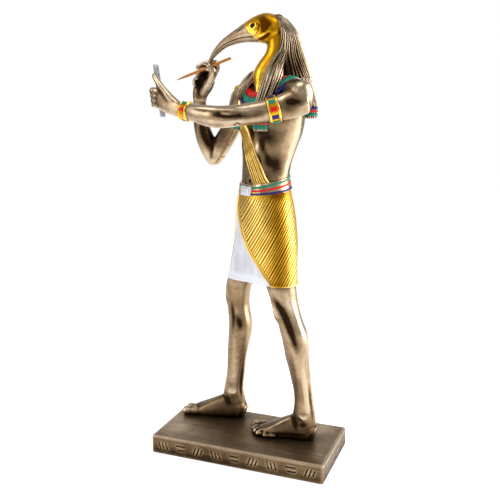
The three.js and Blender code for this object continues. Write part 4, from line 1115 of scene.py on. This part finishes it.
def strap_shape():
    """The sash's other part, over the right shoulder: rows across it, columns from the back over the top."""
    angle = np.linspace(-110, 85, 90)[None]
    w = np.linspace(-1, 1, 25)[:, None]
    u = np.interp(angle, [-110, -60, 0, 35, 85], [0.24, 0.12, 0.05, 0.035, 0.12]) + 0.036 * w
    angle = angle + 0 * w
    height = 0.9 + 0.2 * np.cos(w * 9) - 0.8 * np.clip(np.abs(w) - 0.9, 0, 1) * 10
    outer = surface(YOKE, u, angle, height + 0 * angle, **UPRIGHT)
    inner = surface(YOKE, u, angle, -1.2, **UPRIGHT)
    pleat = w * 5.5 + 20 + 0 * angle
    return shell(outer, inner), np.concatenate([pleat.ravel(), pleat.ravel()])


# Belt

def belt_point(down, angle, height):
    """Point of the belt: down runs from its upper edge to its lower edge, height is off the body."""
    down, angle, height = np.broadcast_arrays(down, angle, height)
    sine = np.sin(np.radians(angle))
    top, foot = 181.8 - 4.6 * sine, 173.8 - 2 * sine  # both edges drop in front
    z = top + (foot - top) * down
    first, last = BELT[0][2], BELT[-1][2]
    points = surface(BELT, np.clip((first - z) / (first - last), 0, 1), angle, height, **FLAT)
    points[..., 2] = z
    return points


def belt_strip(centre, half, top, bulge):
    """Cord round the belt, half of its width in millimetres: its height over its own width w is top + bulge
    times the root of 1 - w squared."""
    low, sides = -1.2, 300
    w = np.sin(np.linspace(-np.pi / 2, np.pi / 2, 11))
    w = np.concatenate([[-1], w, [1]])[:, None]
    height = np.concatenate([[low], top + bulge * np.sqrt(np.maximum(1 - w[1:-1, 0] ** 2, 0)), [low]])[:, None]
    angle = np.arange(sides)[None] * 360 / sides
    return ring_band(belt_point(centre + w * half / (8 - 2.6 * np.sin(np.radians(angle))), angle, height))


def buckle_shape():
    """Small plate on the front of the belt, rounded like a pillow, with a groove inside its edge."""
    a, d = np.linspace(-1, 1, 33)[None], np.linspace(-1, 1, 33)[:, None]
    a, d = np.broadcast_arrays(a, d)
    rim = np.maximum(np.abs(a), np.abs(d))
    height = 1.4 + 0.9 * (1 - rim**4) - 0.35 * bell(rim - 0.72, 0.09)
    angle, down = 82 + 15 * a * (1 - 0.06 * d**2), 0.5 + 0.55 * d
    return shell(belt_point(down, angle, height), belt_point(down, angle, -0.5))


# Kilt

KILT_FORM = {"squareness": KILT_SQUARENESS, "level": True}
WRAP_THICKNESS = 1.25
PLEAT_LEAN = 0.516  # sideways for each step down


def under_belt(points, angle):
    """Nothing of the kilt stands above the middle of the belt, which drops in front."""
    middle = 179.2 - 3.6 * np.sin(np.radians(angle))
    return np.concatenate([points[..., :2], np.minimum(points[..., 2], middle)[..., None]], -1)


def hem(u, angle):
    """The hem hangs lower towards the figure's right."""
    return -3.4 * u**3 * np.maximum(0, np.cos(np.radians(angle - 175)))


def parting(v):
    """Angles of the two edges of the wrap at a place down the kilt."""
    rows = np.array([[100 * place, 0, 0, near, far] for place, near, far in PARTING], float)
    found = along(rows, (np.asarray(v) - PARTING[0][0]) / (1 - PARTING[0][0]))
    return found[..., 3], found[..., 4]


def pleat_phase(points, angle, pleats):
    """Number of pleats counted along each row of the wrap: by how far each step goes sideways for someone at
    the figure's left, though at least 0.45 of its length, and by the height, so that the pleats lean."""
    turn = math.radians(CAMERA_AZIMUTH)
    left = points @ np.array([math.sin(turn), -math.cos(turn), 0])
    step = np.diff(points, axis=1)
    gone = np.maximum(np.abs(np.diff(left, axis=1)), 0.45 * np.linalg.norm(step, axis=2))
    gone = np.concatenate([0 * left[:, :1], np.cumsum(gone, axis=1)], axis=1)
    start = [np.interp(380, turns, side - run) for turns, side, run in zip(angle, left, gone)]
    gap = gone[len(gone) // 2, -1] / pleats
    down = points[:1, :1, 2] - points[..., 2]
    count = (gone + np.array(start)[:, None] - down * PLEAT_LEAN) / gap
    return count + 0.15 * np.sin(count * 0.83) + 0.1 * np.sin(count * 2.1)


def kilt_wrap(rows, segments, thin, pleats, pleat_height):
    """Open sheet round the hips: column c runs from the far edge of the parting round the back to the near one.
    Each pleat is a ridge between two whole numbers of its phase. The inner side has one column for every thin
    of the outer side's."""
    v = np.linspace(0, 1, rows)[:, None]
    c = np.linspace(0, 1, segments + 1)[None]
    first, last = parting(v)
    angle = last + c * (first + 360 - last)
    v = v + 0 * angle
    from_edge = np.minimum(angle - last, first + 360 - angle)
    below_belt = np.clip(v * 12 - 1.2, 0, 1)
    inside = np.clip((from_edge - 6) / 1.5, 0, 1) * below_belt
    phase = pleat_phase(surface(KILT, v, angle, WRAP_THICKNESS, **KILT_FORM), angle, pleats)
    height = pleat_height * (np.cos(2 * np.pi * phase) - 0.2 * np.sin(2 * np.pi * phase)) * inside
    height += 0.35 * bell(from_edge - 5.4, 0.7) * below_belt
    height += 0.3 * bell(from_edge, 1.2) + 0.35 * bell(1 - v, 0.014)

    def hung(v, angle, height):
        points = surface(KILT, v, angle, height, **KILT_FORM)
        points[..., 2] += hem(v, angle)
        return under_belt(points, angle)
    outer = hung(v, angle, WRAP_THICKNESS + height)
    inner = hung(v[:, ::thin], angle[:, ::thin], -0.1)
    pleat = np.where(inside > 0.5, phase + 0.5, 0.5)
    return thin_shell(outer, inner, thin), np.concatenate([pleat.ravel(), np.full(inner[..., 0].size, 0.5)])


def thin_shell(outer, inner, thin):
    """Like shell, with an inner grid that has one column for so many of the outer grid's."""
    rows, columns = outer.shape[:2]
    few = inner.shape[1]
    first = rows * columns
    out, inn = np.arange(first).reshape(rows, columns), first + np.arange(rows * few).reshape(rows, few)
    quads = [grid_faces(rows, columns, False, False), grid_faces(rows, few, False, False)[:, ::-1] + first]
    quads.append(np.stack([out[1:, -1], out[:-1, -1], inn[:-1, -1], inn[1:, -1]], 1))
    quads.append(np.stack([out[:-1, 0], out[1:, 0], inn[1:, 0], inn[:-1, 0]], 1))
    tris = []
    k = np.arange(columns - 1)
    j = np.arange(few - 1)
    for row, flip in ((0, False), (rows - 1, True)):
        fan = np.stack([out[row, k + 1], out[row, k], inn[row, k // thin]], 1)
        link = np.stack([out[row, (j + 1) * thin], inn[row, j], inn[row, j + 1]], 1)
        both = np.concatenate([fan, link])
        tris.append(both[:, ::-1] if flip else both)
    verts = np.concatenate([outer.reshape(-1, 3), inner.reshape(-1, 3)])
    return verts, np.concatenate(quads), np.concatenate(tris)


def apron_shape():
    """Plain apron under the wrap, sunk where the wrap covers it."""
    def under(u, angle):
        turn = angle % 360
        sunk = -1.2 * np.clip(np.maximum((24 - turn) / 8, (turn - 176) / 8), 0, 1)
        return sunk + 0.25 * bell(1 - u, 0.02)
    sides = 160
    points = skin(KILT, 80, sides, under, lift=hem, **KILT_FORM)
    return tube(under_belt(points, np.arange(sides) * 360 / sides))


# Armlet and bracelet

def arm_ring(first, last):
    """Ring round the left arm with raised rims: height is 0.7, and more near both of its edges."""
    def relief(u, angle):
        t = (u - first) / (last - first)
        rim = bell(t - 0.08, 0.07) + bell(t - 0.92, 0.07)
        return 0.7 + 0.3 * rim + 0 * angle
    return tube(skin(LEFT_ARM, 30, 120, relief, (first, last), **UPRIGHT))


def inlay(first, last, start, end):
    """Pillow of enamel on an arm ring, from place to place along the arm and from angle to angle."""
    u, a = np.broadcast_arrays(np.linspace(0, 1, 13)[:, None], np.linspace(0, 1, 17)[None])
    edge = np.minimum(np.minimum(u, 1 - u), np.minimum(a, 1 - a) * 1.2)
    height = 0.95 + 0.22 * np.clip(edge / 0.16, 0, 1) ** 0.5
    place, angle = first + u * (last - first), start + a * (end - start)
    return shell(*(surface(LEFT_ARM, place, angle, rise, **UPRIGHT) for rise in (height, 0.3)))


# Plinth, pen and palette

def plinth_shape(edge_round):
    """Slab whose rows go up its side, round its edges and in over its faces to their middles."""
    low, high = PLINTH_BOX
    half = (high - low) / 2
    middle = (high + low) / 2
    corner = 1.6
    turn = np.radians(np.linspace(0, 90, 9))
    arc = np.stack([np.cos(turn), np.sin(turn)], 1)
    outline, normals = [], []
    for k, (sx, sy) in enumerate(((1, 1), (-1, 1), (-1, -1), (1, -1))):
        c, s = math.cos(k * math.pi / 2), math.sin(k * math.pi / 2)
        spun = arc @ np.array([[c, s], [-s, c]])
        at = np.array([sx * (half[0] - corner), sy * (half[1] - corner)])
        outline.append(at + corner * spun)
        normals.append(spun)
    ends = np.concatenate(outline + [outline[0][:1]])
    facing = np.concatenate(normals + [normals[0][:1]])
    steps = np.linalg.norm(np.diff(ends, axis=0), axis=1)
    pieces, ways = [], []
    for a, b, na, nb, length in zip(ends[:-1], ends[1:], facing[:-1], facing[1:], steps):
        count = max(1, int(round(length / 0.52)))
        t = (np.arange(count) / count)[:, None]
        pieces.append(a + (b - a) * t)
        ways.append(unit(na + (nb - na) * t))
    flat, way = np.concatenate(pieces), np.concatenate(ways)
    tilt = np.radians(np.linspace(0, 90, 7))
    inset = np.concatenate([1 - np.cos(tilt)[::-1], np.zeros(20), 1 - np.cos(tilt)]) * edge_round
    wall = np.linspace(high[2] - edge_round, low[2] + edge_round, 22)[1:-1]
    bend = edge_round * np.sin(tilt)
    rise = np.concatenate([high[2] - edge_round + bend[::-1], wall, low[2] + edge_round - bend])
    rows = [np.concatenate([flat - way * i, np.full((len(flat), 1), z)], 1) for i, z in zip(inset, rise)]
    inner = [0.985, 0.96, 0.9, 0.75, 0.5, 0.2, 0.02]
    top = [np.concatenate([rows[0][:, :2] * s, rows[0][:, 2:]], 1) for s in inner[::-1]]
    under = [np.concatenate([rows[-1][:, :2] * s, rows[-1][:, 2:]], 1) for s in inner]
    points = np.stack(top + rows + under)[::-1]
    points[..., :2] += middle[:2]
    return tube(points)


STROKE_GROUPS = [
    [[-1, 0, 1, 18], [0, 0, 0.7, 18], [1, 0, 1, 18]],
    [[0, 0.55, 1.25, 90], [0.3, -0.55, 1, 90]],
    [[-1, 0, 1, -18], [0, 0, 1, -18], [1, 0, 0.7, -18]],
]


def plinth_strokes(depth):
    """Groups of parallel strokes along the left side and the rear. Each stroke is how far it is aside and up in
    gaps, its length in heights and its lean."""
    high = PLINTH_BOX[1]
    gap, tall, pitch, margin, width = 2.6, 5.5, 13.5, 9, 0.42
    strokes = []
    for length, place in (
        (126, lambda at, y, z: (high[0], at + y, high[2] / 2 + z)),
        (62, lambda at, y, z: (at - y, high[1], high[2] / 2 + z)),
    ):
        count = int((length - 2 * margin) // pitch) + 1
        for i in range(count):
            at = (i - (count - 1) / 2) * pitch
            for aside, up, share, lean in STROKE_GROUPS[i % 3]:
                y, z = -math.sin(math.radians(lean)), math.cos(math.radians(lean))
                half = share * tall / 2 - 0.3
                ends = [place(at, aside * gap + k * half * y, up * gap + k * half * z) for k in (-1, 1)]
                strokes.append((np.array(ends), width, -depth))
    return strokes


# Reed: how far from its point and how thick, in radii
REED = np.array([[0, 0.02], [0.05, 0.22], [7, 0.9], [38.6, 0.9], [38.9, 0.78], [39, 0.5]])


def pen_shape():
    """Reed turned round its own line: radius against length, with two joints and a cut point."""
    tip, towards = np.array([6, -50, 245.7]), np.array([-4, -15, 259.7])
    way = unit(towards - tip)
    side = unit(np.cross(way, UP))
    third = np.cross(way, side)
    places, radii = REED.T
    at = np.concatenate([places[:2], np.linspace(0.3, places[3], 120), places[4:]])
    radius = np.interp(at, places, radii)
    for joint in (19, 31):
        radius = radius + 0.07 * bell(at - joint, 0.35)
    turn = np.linspace(0, 2 * np.pi, 24, endpoint=False)
    ring = np.cos(turn)[:, None] * side + np.sin(turn)[:, None] * third
    return tube(tip + at[:, None, None] * way + radius[:, None, None] * ring[None])


def palette_shape():
    """Flat bar, superellipse in section, with a long recess and two ink wells in the face to the figure."""
    tilt, turn = math.radians(7.1), math.radians(12)
    grip, grip_height = np.array([14.6, -58.1, 234]), 12.5
    half_length, half_width, half_thickness = 17, 4, 1
    rx = np.array([[1, 0, 0], [0, math.cos(tilt), -math.sin(tilt)], [0, math.sin(tilt), math.cos(tilt)]])
    rz = np.array([[math.cos(turn), -math.sin(turn), 0], [math.sin(turn), math.cos(turn), 0], [0, 0, 1]])
    spin = rz @ rx
    middle = grip + spin @ UP * (half_length - grip_height)
    s = np.concatenate([[-half_length, -16.97], np.linspace(-16.8, 16.8, 90), [16.97, half_length]])
    angle = np.radians(np.arange(120) * 3.0)
    c, n = signed_power(np.cos(angle), 2 / 7), signed_power(np.sin(angle), 2 / 7)
    rounded = np.interp(np.abs(s), [16.6, 16.9, 16.97, half_length], [0, 0.12, 0.2, 0.35])[:, None]
    x = c[None] * (half_width - rounded)
    y = n[None] * (half_thickness - rounded)
    face = np.clip((n[None] - 0.9) / 0.05, 0, 1)
    recess = face * np.clip((1.2 - np.abs(x)) / 0.2, 0, 1) * np.clip((9 - np.abs(s[:, None] + 2)) / 0.3, 0, 1)
    y = y - 0.6 * recess
    for well in (10.5, 14):
        y = y - 0.5 * face * np.clip((1.3 - np.hypot(x, s[:, None] - well)) / 0.3, 0, 1)
    z = s[:, None] + 0 * x
    return tube(np.stack([x, y, z], 2) @ spin.T + middle)


# Stage

def lamp(name, azimuth, height, distance, size, energy):
    """Rectangular soft light at an azimuth from the camera's, aimed at the figure."""
    data = bpy.data.lights.new(name, "AREA")
    data.shape = "RECTANGLE"
    data.size, data.size_y = size
    data.energy = energy
    made = into_scene(name, data)
    turn = math.radians(CAMERA_AZIMUTH + azimuth)
    made.location = (math.cos(turn) * distance, math.sin(turn) * distance, height)
    look_at(made, LAMP_AIM)


def look_at(made, target):
    made.rotation_euler = (Vector(target) - Vector(made.location)).to_track_quat("-Z", "Y").to_euler()


def grey_ramp(tree, value, stops):
    """Greys against a value that runs from -1 to 1."""
    share = calc(tree, "MULTIPLY_ADD", value, 0.5, 0.5)
    return ramp(tree, share, [(place, (grey,) * 3) for place, grey in stops])


def studio_world():
    """White to the camera. What the metal mirrors is a room: bright behind the figure, dark grey at its sides
    and behind the camera, brightest a little above the horizon and overhead."""
    world = bpy.data.worlds.new("studio")
    world.use_nodes = True
    tree = world.node_tree
    tree.nodes.clear()
    way = add(tree, "TexCoord").outputs["Generated"]
    azimuth = math.radians(CAMERA_AZIMUTH)
    facing = add(tree, "VectorMath", {0: way, 1: (math.cos(azimuth), math.sin(azimuth), 0)},
                 operation="DOT_PRODUCT").outputs["Value"]
    room = grey_ramp(tree, facing, [
        (0.0, 0.9), (0.12, 0.5), (0.25, 0.3), (0.5, 0.28), (0.75, 0.2), (1.0, 0.45)])
    up = add(tree, "SeparateXYZ", {0: way}).outputs["Z"]
    level = grey_ramp(tree, up, [(0.0, 0.3), (0.42, 0.3), (0.5, 0.8), (0.58, 2.2), (0.7, 1.3), (1.0, 2.0)])
    both = add(tree, "Mix", {"Factor": 1.0, 6: room, 7: level},
               data_type="RGBA", blend_type="MULTIPLY")
    soft = add(tree, "Background", {"Color": both.outputs[2], "Strength": 1.0})
    plain = add(tree, "Background", {"Color": (1, 1, 1, 1), "Strength": 1.0})
    seen = add(tree, "LightPath").outputs["Is Camera Ray"]
    chosen = add(tree, "MixShader", {0: seen, 1: soft.outputs[0], 2: plain.outputs[0]})
    add(tree, "OutputWorld", {"Surface": chosen.outputs[0]})
    bpy.context.scene.world = world


def floor():
    x, y = np.meshgrid(np.linspace(-0.8, 0.8, 9), np.linspace(-0.8, 0.8, 9), indexing="ij")
    points = np.stack([x, y, 0 * x], 2) / MM
    faces = grid_faces(9, 9, False, False)[:, ::-1]
    mesh = mesh_from("floor", (points.reshape(-1, 3), faces, NO_TRIANGLES))
    material = bpy.data.materials.new("pale floor")
    material.use_nodes = True
    shader = material.node_tree.nodes["Principled BSDF"]
    for key, value in (
        ("Base Color", (0.9, 0.9, 0.9, 1)), ("Roughness", 0.7),
        ("Emission Color", (1, 1, 1, 1)), ("Emission Strength", 0.55),
    ):
        shader.inputs[key].default_value = value
    mesh.materials.append(material)
    made = into_scene("floor", mesh)


def camera():
    bpy.context.scene.view_settings.view_transform = "Standard"
    data = bpy.data.cameras.new("camera")
    data.sensor_width = 36
    data.lens = 36 * FOCAL_PIXELS / PICTURE_PIXELS
    data.clip_start = 0.01
    made = into_scene("camera", data)
    made.location = CAMERA_PLACE
    look_at(made, CAMERA_AIM)
    bpy.context.scene.camera = made


# Sizes and colours that a user may change

def colour_property(name, description, default):
    return bpy.props.FloatVectorProperty(
        name=name, description=description, subtype="COLOR", size=3, min=0, max=1, default=default)


def length_property(name, description, default, least, most):
    return bpy.props.FloatProperty(
        name=name, description=description, default=default, min=least, max=most, unit="LENGTH", precision=5)


def count_property(name, description, default):
    return bpy.props.IntProperty(name=name, description=description, default=default, min=12, max=160)


class IbisSizes(bpy.types.PropertyGroup):
    strands: count_property("Hair strands", "Strands all the way round the wig's hood", 46)
    strand_height: length_property("Strand height", "How far a strand of hair stands out", 0.0005, 0, 0.001)
    pleats: count_property("Kilt pleats", "Pleats all the way round the kilt", 48)
    pleat_height: length_property("Pleat height", "How far a pleat of the kilt stands out", 0.00012, 0, 0.001)
    edge_round: length_property("Plinth edge", "Radius of the plinth's rounded edges", 0.0014, 0.0003, 0.003)
    stroke_depth: length_property("Stroke depth", "Depth of the strokes cut into the plinth", 0.0005, 0, 0.001)


class IbisColours(bpy.types.PropertyGroup):
    # The rubbed and dark tones go on crests and in hollows, and also where painted highlights and painted shade
    # are laid on a piece.
    bronze_bright: colour_property("Bronze, rubbed", "Bronze on the crests", linear(180, 160, 134))
    bronze: colour_property("Bronze", "Bronze between crests and hollows", linear(128, 106, 80))
    bronze_dark: colour_property("Bronze, dark", "Bronze in the hollows", linear(44, 32, 22))
    gold_bright: colour_property("Gold, rubbed", "Gold on the crests", linear(232, 188, 78))
    gold: colour_property("Gold", "Gold between crests and hollows", linear(192, 138, 18))
    gold_dark: colour_property("Gold, dark", "Gold in the hollows", linear(84, 50, 3))
    silver_bright: colour_property("Silver, rubbed", "Silver on the crests", linear(206, 207, 214))
    silver: colour_property("Silver", "Silver between crests and hollows", linear(182, 182, 190))
    silver_dark: colour_property("Silver, dark", "Silver in the hollows", linear(112, 110, 114))
    green: colour_property("Green", "Green enamel", linear(0, 118, 96))
    red: colour_property("Red", "Red enamel", linear(196, 20, 22))
    blue: colour_property("Blue", "Dark blue enamel", linear(26, 28, 92))


# Operators

class IbisPiece:
    bl_options = {"REGISTER", "UNDO"}

    def execute(self, context):
        self.make(context.scene.ibis_sizes)
        return {"FINISHED"}


class IbisStage(IbisPiece, bpy.types.Operator):
    """Make the floor, the lights and the camera"""
    bl_idname = "ibis.stage"
    bl_label = "Stage"

    def make(self, sizes):
        floor()
        camera()
        studio_world()
        lamp("left light", -72, 0.45, 0.85, (0.4, 0.9), 3.8)
        lamp("right light", 86, 0.4, 0.85, (0.7, 0.9), 15)
        lamp("front light", -28, 0.75, 0.9, (0.2, 0.2), 0.5)
        lamp("top light", -10, 1.1, 0.3, (0.6, 0.4), 3)


class IbisPlinth(IbisPiece, bpy.types.Operator):
    """Make the plinth with its rows of strokes"""
    bl_idname = "ibis.plinth"
    bl_label = "Plinth"

    def make(self, sizes):
        strokes = plinth_strokes(sizes.stroke_depth / MM)
        # Painted shading: a darker spot in front of the figure and lighter spots on the plinth's top, and
        # painted shade along the foot of its left side and its rear.
        painted_shading = [(np.array([[x, y, 13.5]]), reach, value) for x, y, reach, value in (
            (-2, -26, 12, 0.2), (-18, -50, 14, -0.25), (15, -50, 13, -0.25), (16, 44, 15, -0.25),
            (-22, 50, 10, -0.25))]
        painted_shading += [(np.array([[31, -63, 2], [31, 63, 2], [-31, 63, 2]], float), 16, 0.25)]
        shape = plinth_shape(sizes.edge_round / MM)
        piece("plinth_slab", shape, "plinth finish", ("plinth",), strokes, painted_shading)


class IbisBody(IbisPiece, bpy.types.Operator):
    """Make the trunk, the arms and the hands"""
    bl_idname = "ibis.body"
    bl_label = "Body and arms"

    def make(self, sizes):
        soft = [
            ((18, 40, 232), 9, 60), ((-22, -11, 234), 8, 40), ((23.4, -41, 227), 5, 20),
            ((-14, -42.6, 234), 4, 14), ((22, -53, 239), 9, 9),
        ]
        mesh = fused("body", on_figure(body_shape()), 0.64, 2, soft)
        piece("body", mesh, "bronze finish", strokes=body_strokes(), painted_shading=body_painted_shading())


class IbisLegs(IbisPiece, bpy.types.Operator):
    """Make the legs and the feet"""
    bl_idname = "ibis.legs"
    bl_label = "Legs and feet"

    def make(self, sizes):
        for name, table, heel, outer in (
            ("left_leg", LEFT_LEG, LEFT_HEEL, 0), ("right_leg", RIGHT_LEG, RIGHT_HEEL, 180),
        ):
            ankle = foot_place(heel)([11, 0, 15])
            mesh = fused(name, on_figure(leg_shape(table, heel)), 0.56, 2, [(ankle, 9, 24)])
            piece(name, mesh, "bronze finish", strokes=leg_strokes(table, heel, outer),
                  painted_shading=leg_patina_and_painted_shading(table, heel, outer))


class IbisHead(IbisPiece, bpy.types.Operator):
    """Make the gilt head and neck, the beak and the eyes"""
    bl_idname = "ibis.head"
    bl_label = "Head and beak"

    def make(self, sizes):
        mesh = fused("head", on_figure(head_shape()), 0.42, 2, ())
        tuck_in(mesh)
        piece("head", mesh, "gold finish", strokes=head_strokes(), painted_shading=head_painted_shading())
        beak = tube(skin(BEAK, 150, 112, beak_relief, end_round=0.8))
        # Painted shade in the nostril slits.
        nostril_shade = [(path_on(BEAK, [(0.25, a), (0.33, a)]), 0.45, 0.9, True) for a in (29, 151)]
        piece("beak", on_figure(beak), "bronze finish", painted_shading=nostril_shade)
        piece("eyes", eye_shape(), "black enamel")


class IbisWig(IbisPiece, bpy.types.Operator):
    """Make the wig: its hood, its tail and its two lappets with coloured ends"""
    bl_idname = "ibis.wig"
    bl_label = "Wig"

    def make(self, sizes):
        height = sizes.strand_height / MM
        shape, pleat = lock_of_hair(HOOD, 120, 400, sizes.strands, height, start_round=0.35, level=True)
        # Painted shading on the hood: two patches of painted shade towards its back and a strip of painted
        # highlight on its left side.
        painted_shading = [(path_on(HOOD, places, level=True), reach, value) for places, reach, value in (
            ([(0.52, 318), (0.52, 330), (0.52, 342)], 9, 0.35),
            ([(0.72, 316), (0.72, 330), (0.72, 344)], 8, 0.45),
            ([(0.1, 30), (0.3, 24), (0.5, 22), (0.75, 20)], 6, -0.35))]
        piece("hood", shape, "hair finish", painted_shading=painted_shading, pleat=pleat)
        form = {"level": True, "squareness": 2.6}
        colours = {"red": [], "green": [], "blue": []}
        for name, table, count, span, bands in (
            ("tail", TAIL, 26, (0.3, 1), (("blue", 0.80, 0.85), ("red", 0.865, 0.90), ("green", 0.915, 0.965))),
            ("left_lappet", NEAR_LAPPET, 16, (0, 1), (("red", 0.905, 0.928), ("green", 0.94, 0.98))),
            ("right_lappet", FAR_LAPPET, 15, (0, 1), (("red", 0.895, 0.92), ("green", 0.935, 0.98))),
        ):
            shape, pleat = lock_of_hair(
                table, 90, 180, count, height, span, start_round=0.6, end_round=0.12, **form)
            piece(name, shape, "hair finish", pleat=pleat)
            for colour, first, last in bands:
                ring = skin(table, 8, 160, lambda u, a: 0.75 + 0 * a, (first, last), **form)
                colours[colour].append(tube(ring))
        enamel_pieces("hair_", colours)


class IbisCollar(IbisPiece, bpy.types.Operator):
    """Make the broad collar with its enamel rings"""
    bl_idname = "ibis.collar"
    bl_label = "Broad collar"

    def make(self, sizes):
        piece("collar", on_figure(collar_band(0.06, 0.97, 0.25)), "bronze finish")
        edges = [collar_band(*edge) for edge in (
            (0.362, 0.376, 0.6), (0.57, 0.582, 0.6), (0.72, 0.732, 0.6), (0.905, 0.93, 0.7))]
        piece("collar_edges", on_figure(joined(edges)), "bronze finish")
        rings = (("red", 0.38, 0.565), ("green", 0.587, 0.715), ("blue", 0.737, 0.90))
        enamel_pieces("collar_", {colour: [collar_band(first, last, 0.7)] for colour, first, last in rings})


class IbisSash(IbisPiece, bpy.types.Operator):
    """Make the gilt sash from the right shoulder to the belt"""
    bl_idname = "ibis.sash"
    bl_label = "Sash"

    def make(self, sizes):
        shapes, pleats = zip(sash_shape(SASH), sash_shape(SASH_BACK), strap_shape())
        piece("sash", on_figure(joined(shapes)), "sash finish", pleat=np.concatenate(pleats))


class IbisBelt(IbisPiece, bpy.types.Operator):
    """Make the belt, its three enamel cords and its buckle"""
    bl_idname = "ibis.belt"
    bl_label = "Belt and buckle"

    def make(self, sizes):
        piece("belt", on_figure(belt_strip(0.5, 4.3, 0.35, 0.25)), "bronze finish")
        cords = (("green", 0.13, 0.6), ("red", 0.5, 0.6), ("blue", 0.86, 0.65))
        enamel_pieces("belt_", {colour: [belt_strip(at, half, 0.6, 0.45)] for colour, at, half in cords})
        piece("buckle", on_figure(buckle_shape()), "silver finish")


class IbisKilt(IbisPiece, bpy.types.Operator):
    """Make the pleated gilt kilt and the silver apron under it"""
    bl_idname = "ibis.kilt"
    bl_label = "Kilt and apron"

    def make(self, sizes):
        shape, pleat = kilt_wrap(100, 520, 8, sizes.pleats, sizes.pleat_height / MM)
        # Painted shade: a soft dark band down the kilt's left side where the gold mirrors the dark room, and a
        # fainter one just below the belt.
        painted_shade_bands = [(path_on(KILT, [(0, -4), (0.5, 14), (1, 29)], **KILT_FORM), 5.5, 0.5)]
        painted_shade_bands.append((path_on(KILT, [(0, 60), (0.06, 20), (0.04, -10)], **KILT_FORM), 4, 0.25))
        piece("kilt", on_figure(shape), "pleated gold finish", painted_shading=painted_shade_bands, pleat=pleat)
        piece("apron", on_figure(apron_shape()), "silver finish")


class IbisRings(IbisPiece, bpy.types.Operator):
    """Make the armlet and the bracelet with their enamel inlays"""
    bl_idname = "ibis.rings"
    bl_label = "Armlet and bracelet"

    def make(self, sizes):
        piece("armlet", on_figure(arm_ring(0.192, 0.262)), "gold finish")
        piece("bracelet", on_figure(arm_ring(0.88, 0.955)), "gold finish")
        colours = {"blue": [], "green": [], "red": []}
        for k in range(10):
            colour = ("blue", "green", "red")[k % 3]
            colours[colour].append(inlay(0.206, 0.248, 334 - 36 * k, 354 - 36 * k))
        for colour, middle in (
            ("green", 330), ("red", 282), ("green", 186), ("red", 138), ("green", 90), ("red", 42),
        ):
            colours[colour].append(inlay(0.898, 0.937, middle - 12, middle + 12))
        enamel_pieces("inlay_", colours)


class IbisTools(IbisPiece, bpy.types.Operator):
    """Make the reed pen and the palette in the hands"""
    bl_idname = "ibis.tools"
    bl_label = "Pen and palette"

    def make(self, sizes):
        piece("pen_reed", on_figure(pen_shape()), "reed finish", ("reed_pen",))
        piece("palette_bar", on_figure(palette_shape()), "palette finish", ("palette",))


OPERATORS = (
    IbisStage, IbisPlinth, IbisLegs, IbisBody, IbisHead, IbisWig, IbisCollar, IbisSash, IbisBelt, IbisKilt,
    IbisRings, IbisTools,
)


class IbisPanel(bpy.types.Panel):
    """Lists the pieces of the figure, its sizes and its colours"""
    bl_label = "Ibis Figure"
    bl_idname = "VIEW3D_PT_ibis_figure"
    bl_space_type = "VIEW_3D"
    bl_region_type = "UI"
    bl_category = "Ibis Figure"

    def draw(self, context):
        for group in (context.scene.ibis_sizes, context.scene.ibis_colours):
            for key in type(group).__annotations__:
                self.layout.prop(group, key)
        for operator in OPERATORS:
            self.layout.operator(operator.bl_idname)


CLASSES = (IbisSizes, IbisColours, *OPERATORS, IbisPanel)


def register():
    for cls in CLASSES:
        bpy.utils.register_class(cls)
    bpy.types.Scene.ibis_sizes = bpy.props.PointerProperty(type=IbisSizes)
    bpy.types.Scene.ibis_colours = bpy.props.PointerProperty(type=IbisColours)


def unregister():
    del bpy.types.Scene.ibis_colours
    del bpy.types.Scene.ibis_sizes
    for cls in reversed(CLASSES):
        bpy.utils.unregister_class(cls)


def main():
    register()
    for operator in OPERATORS:
        getattr(bpy.ops.ibis, operator.bl_idname.split(".")[1])()


if __name__ == "__main__":
    main()
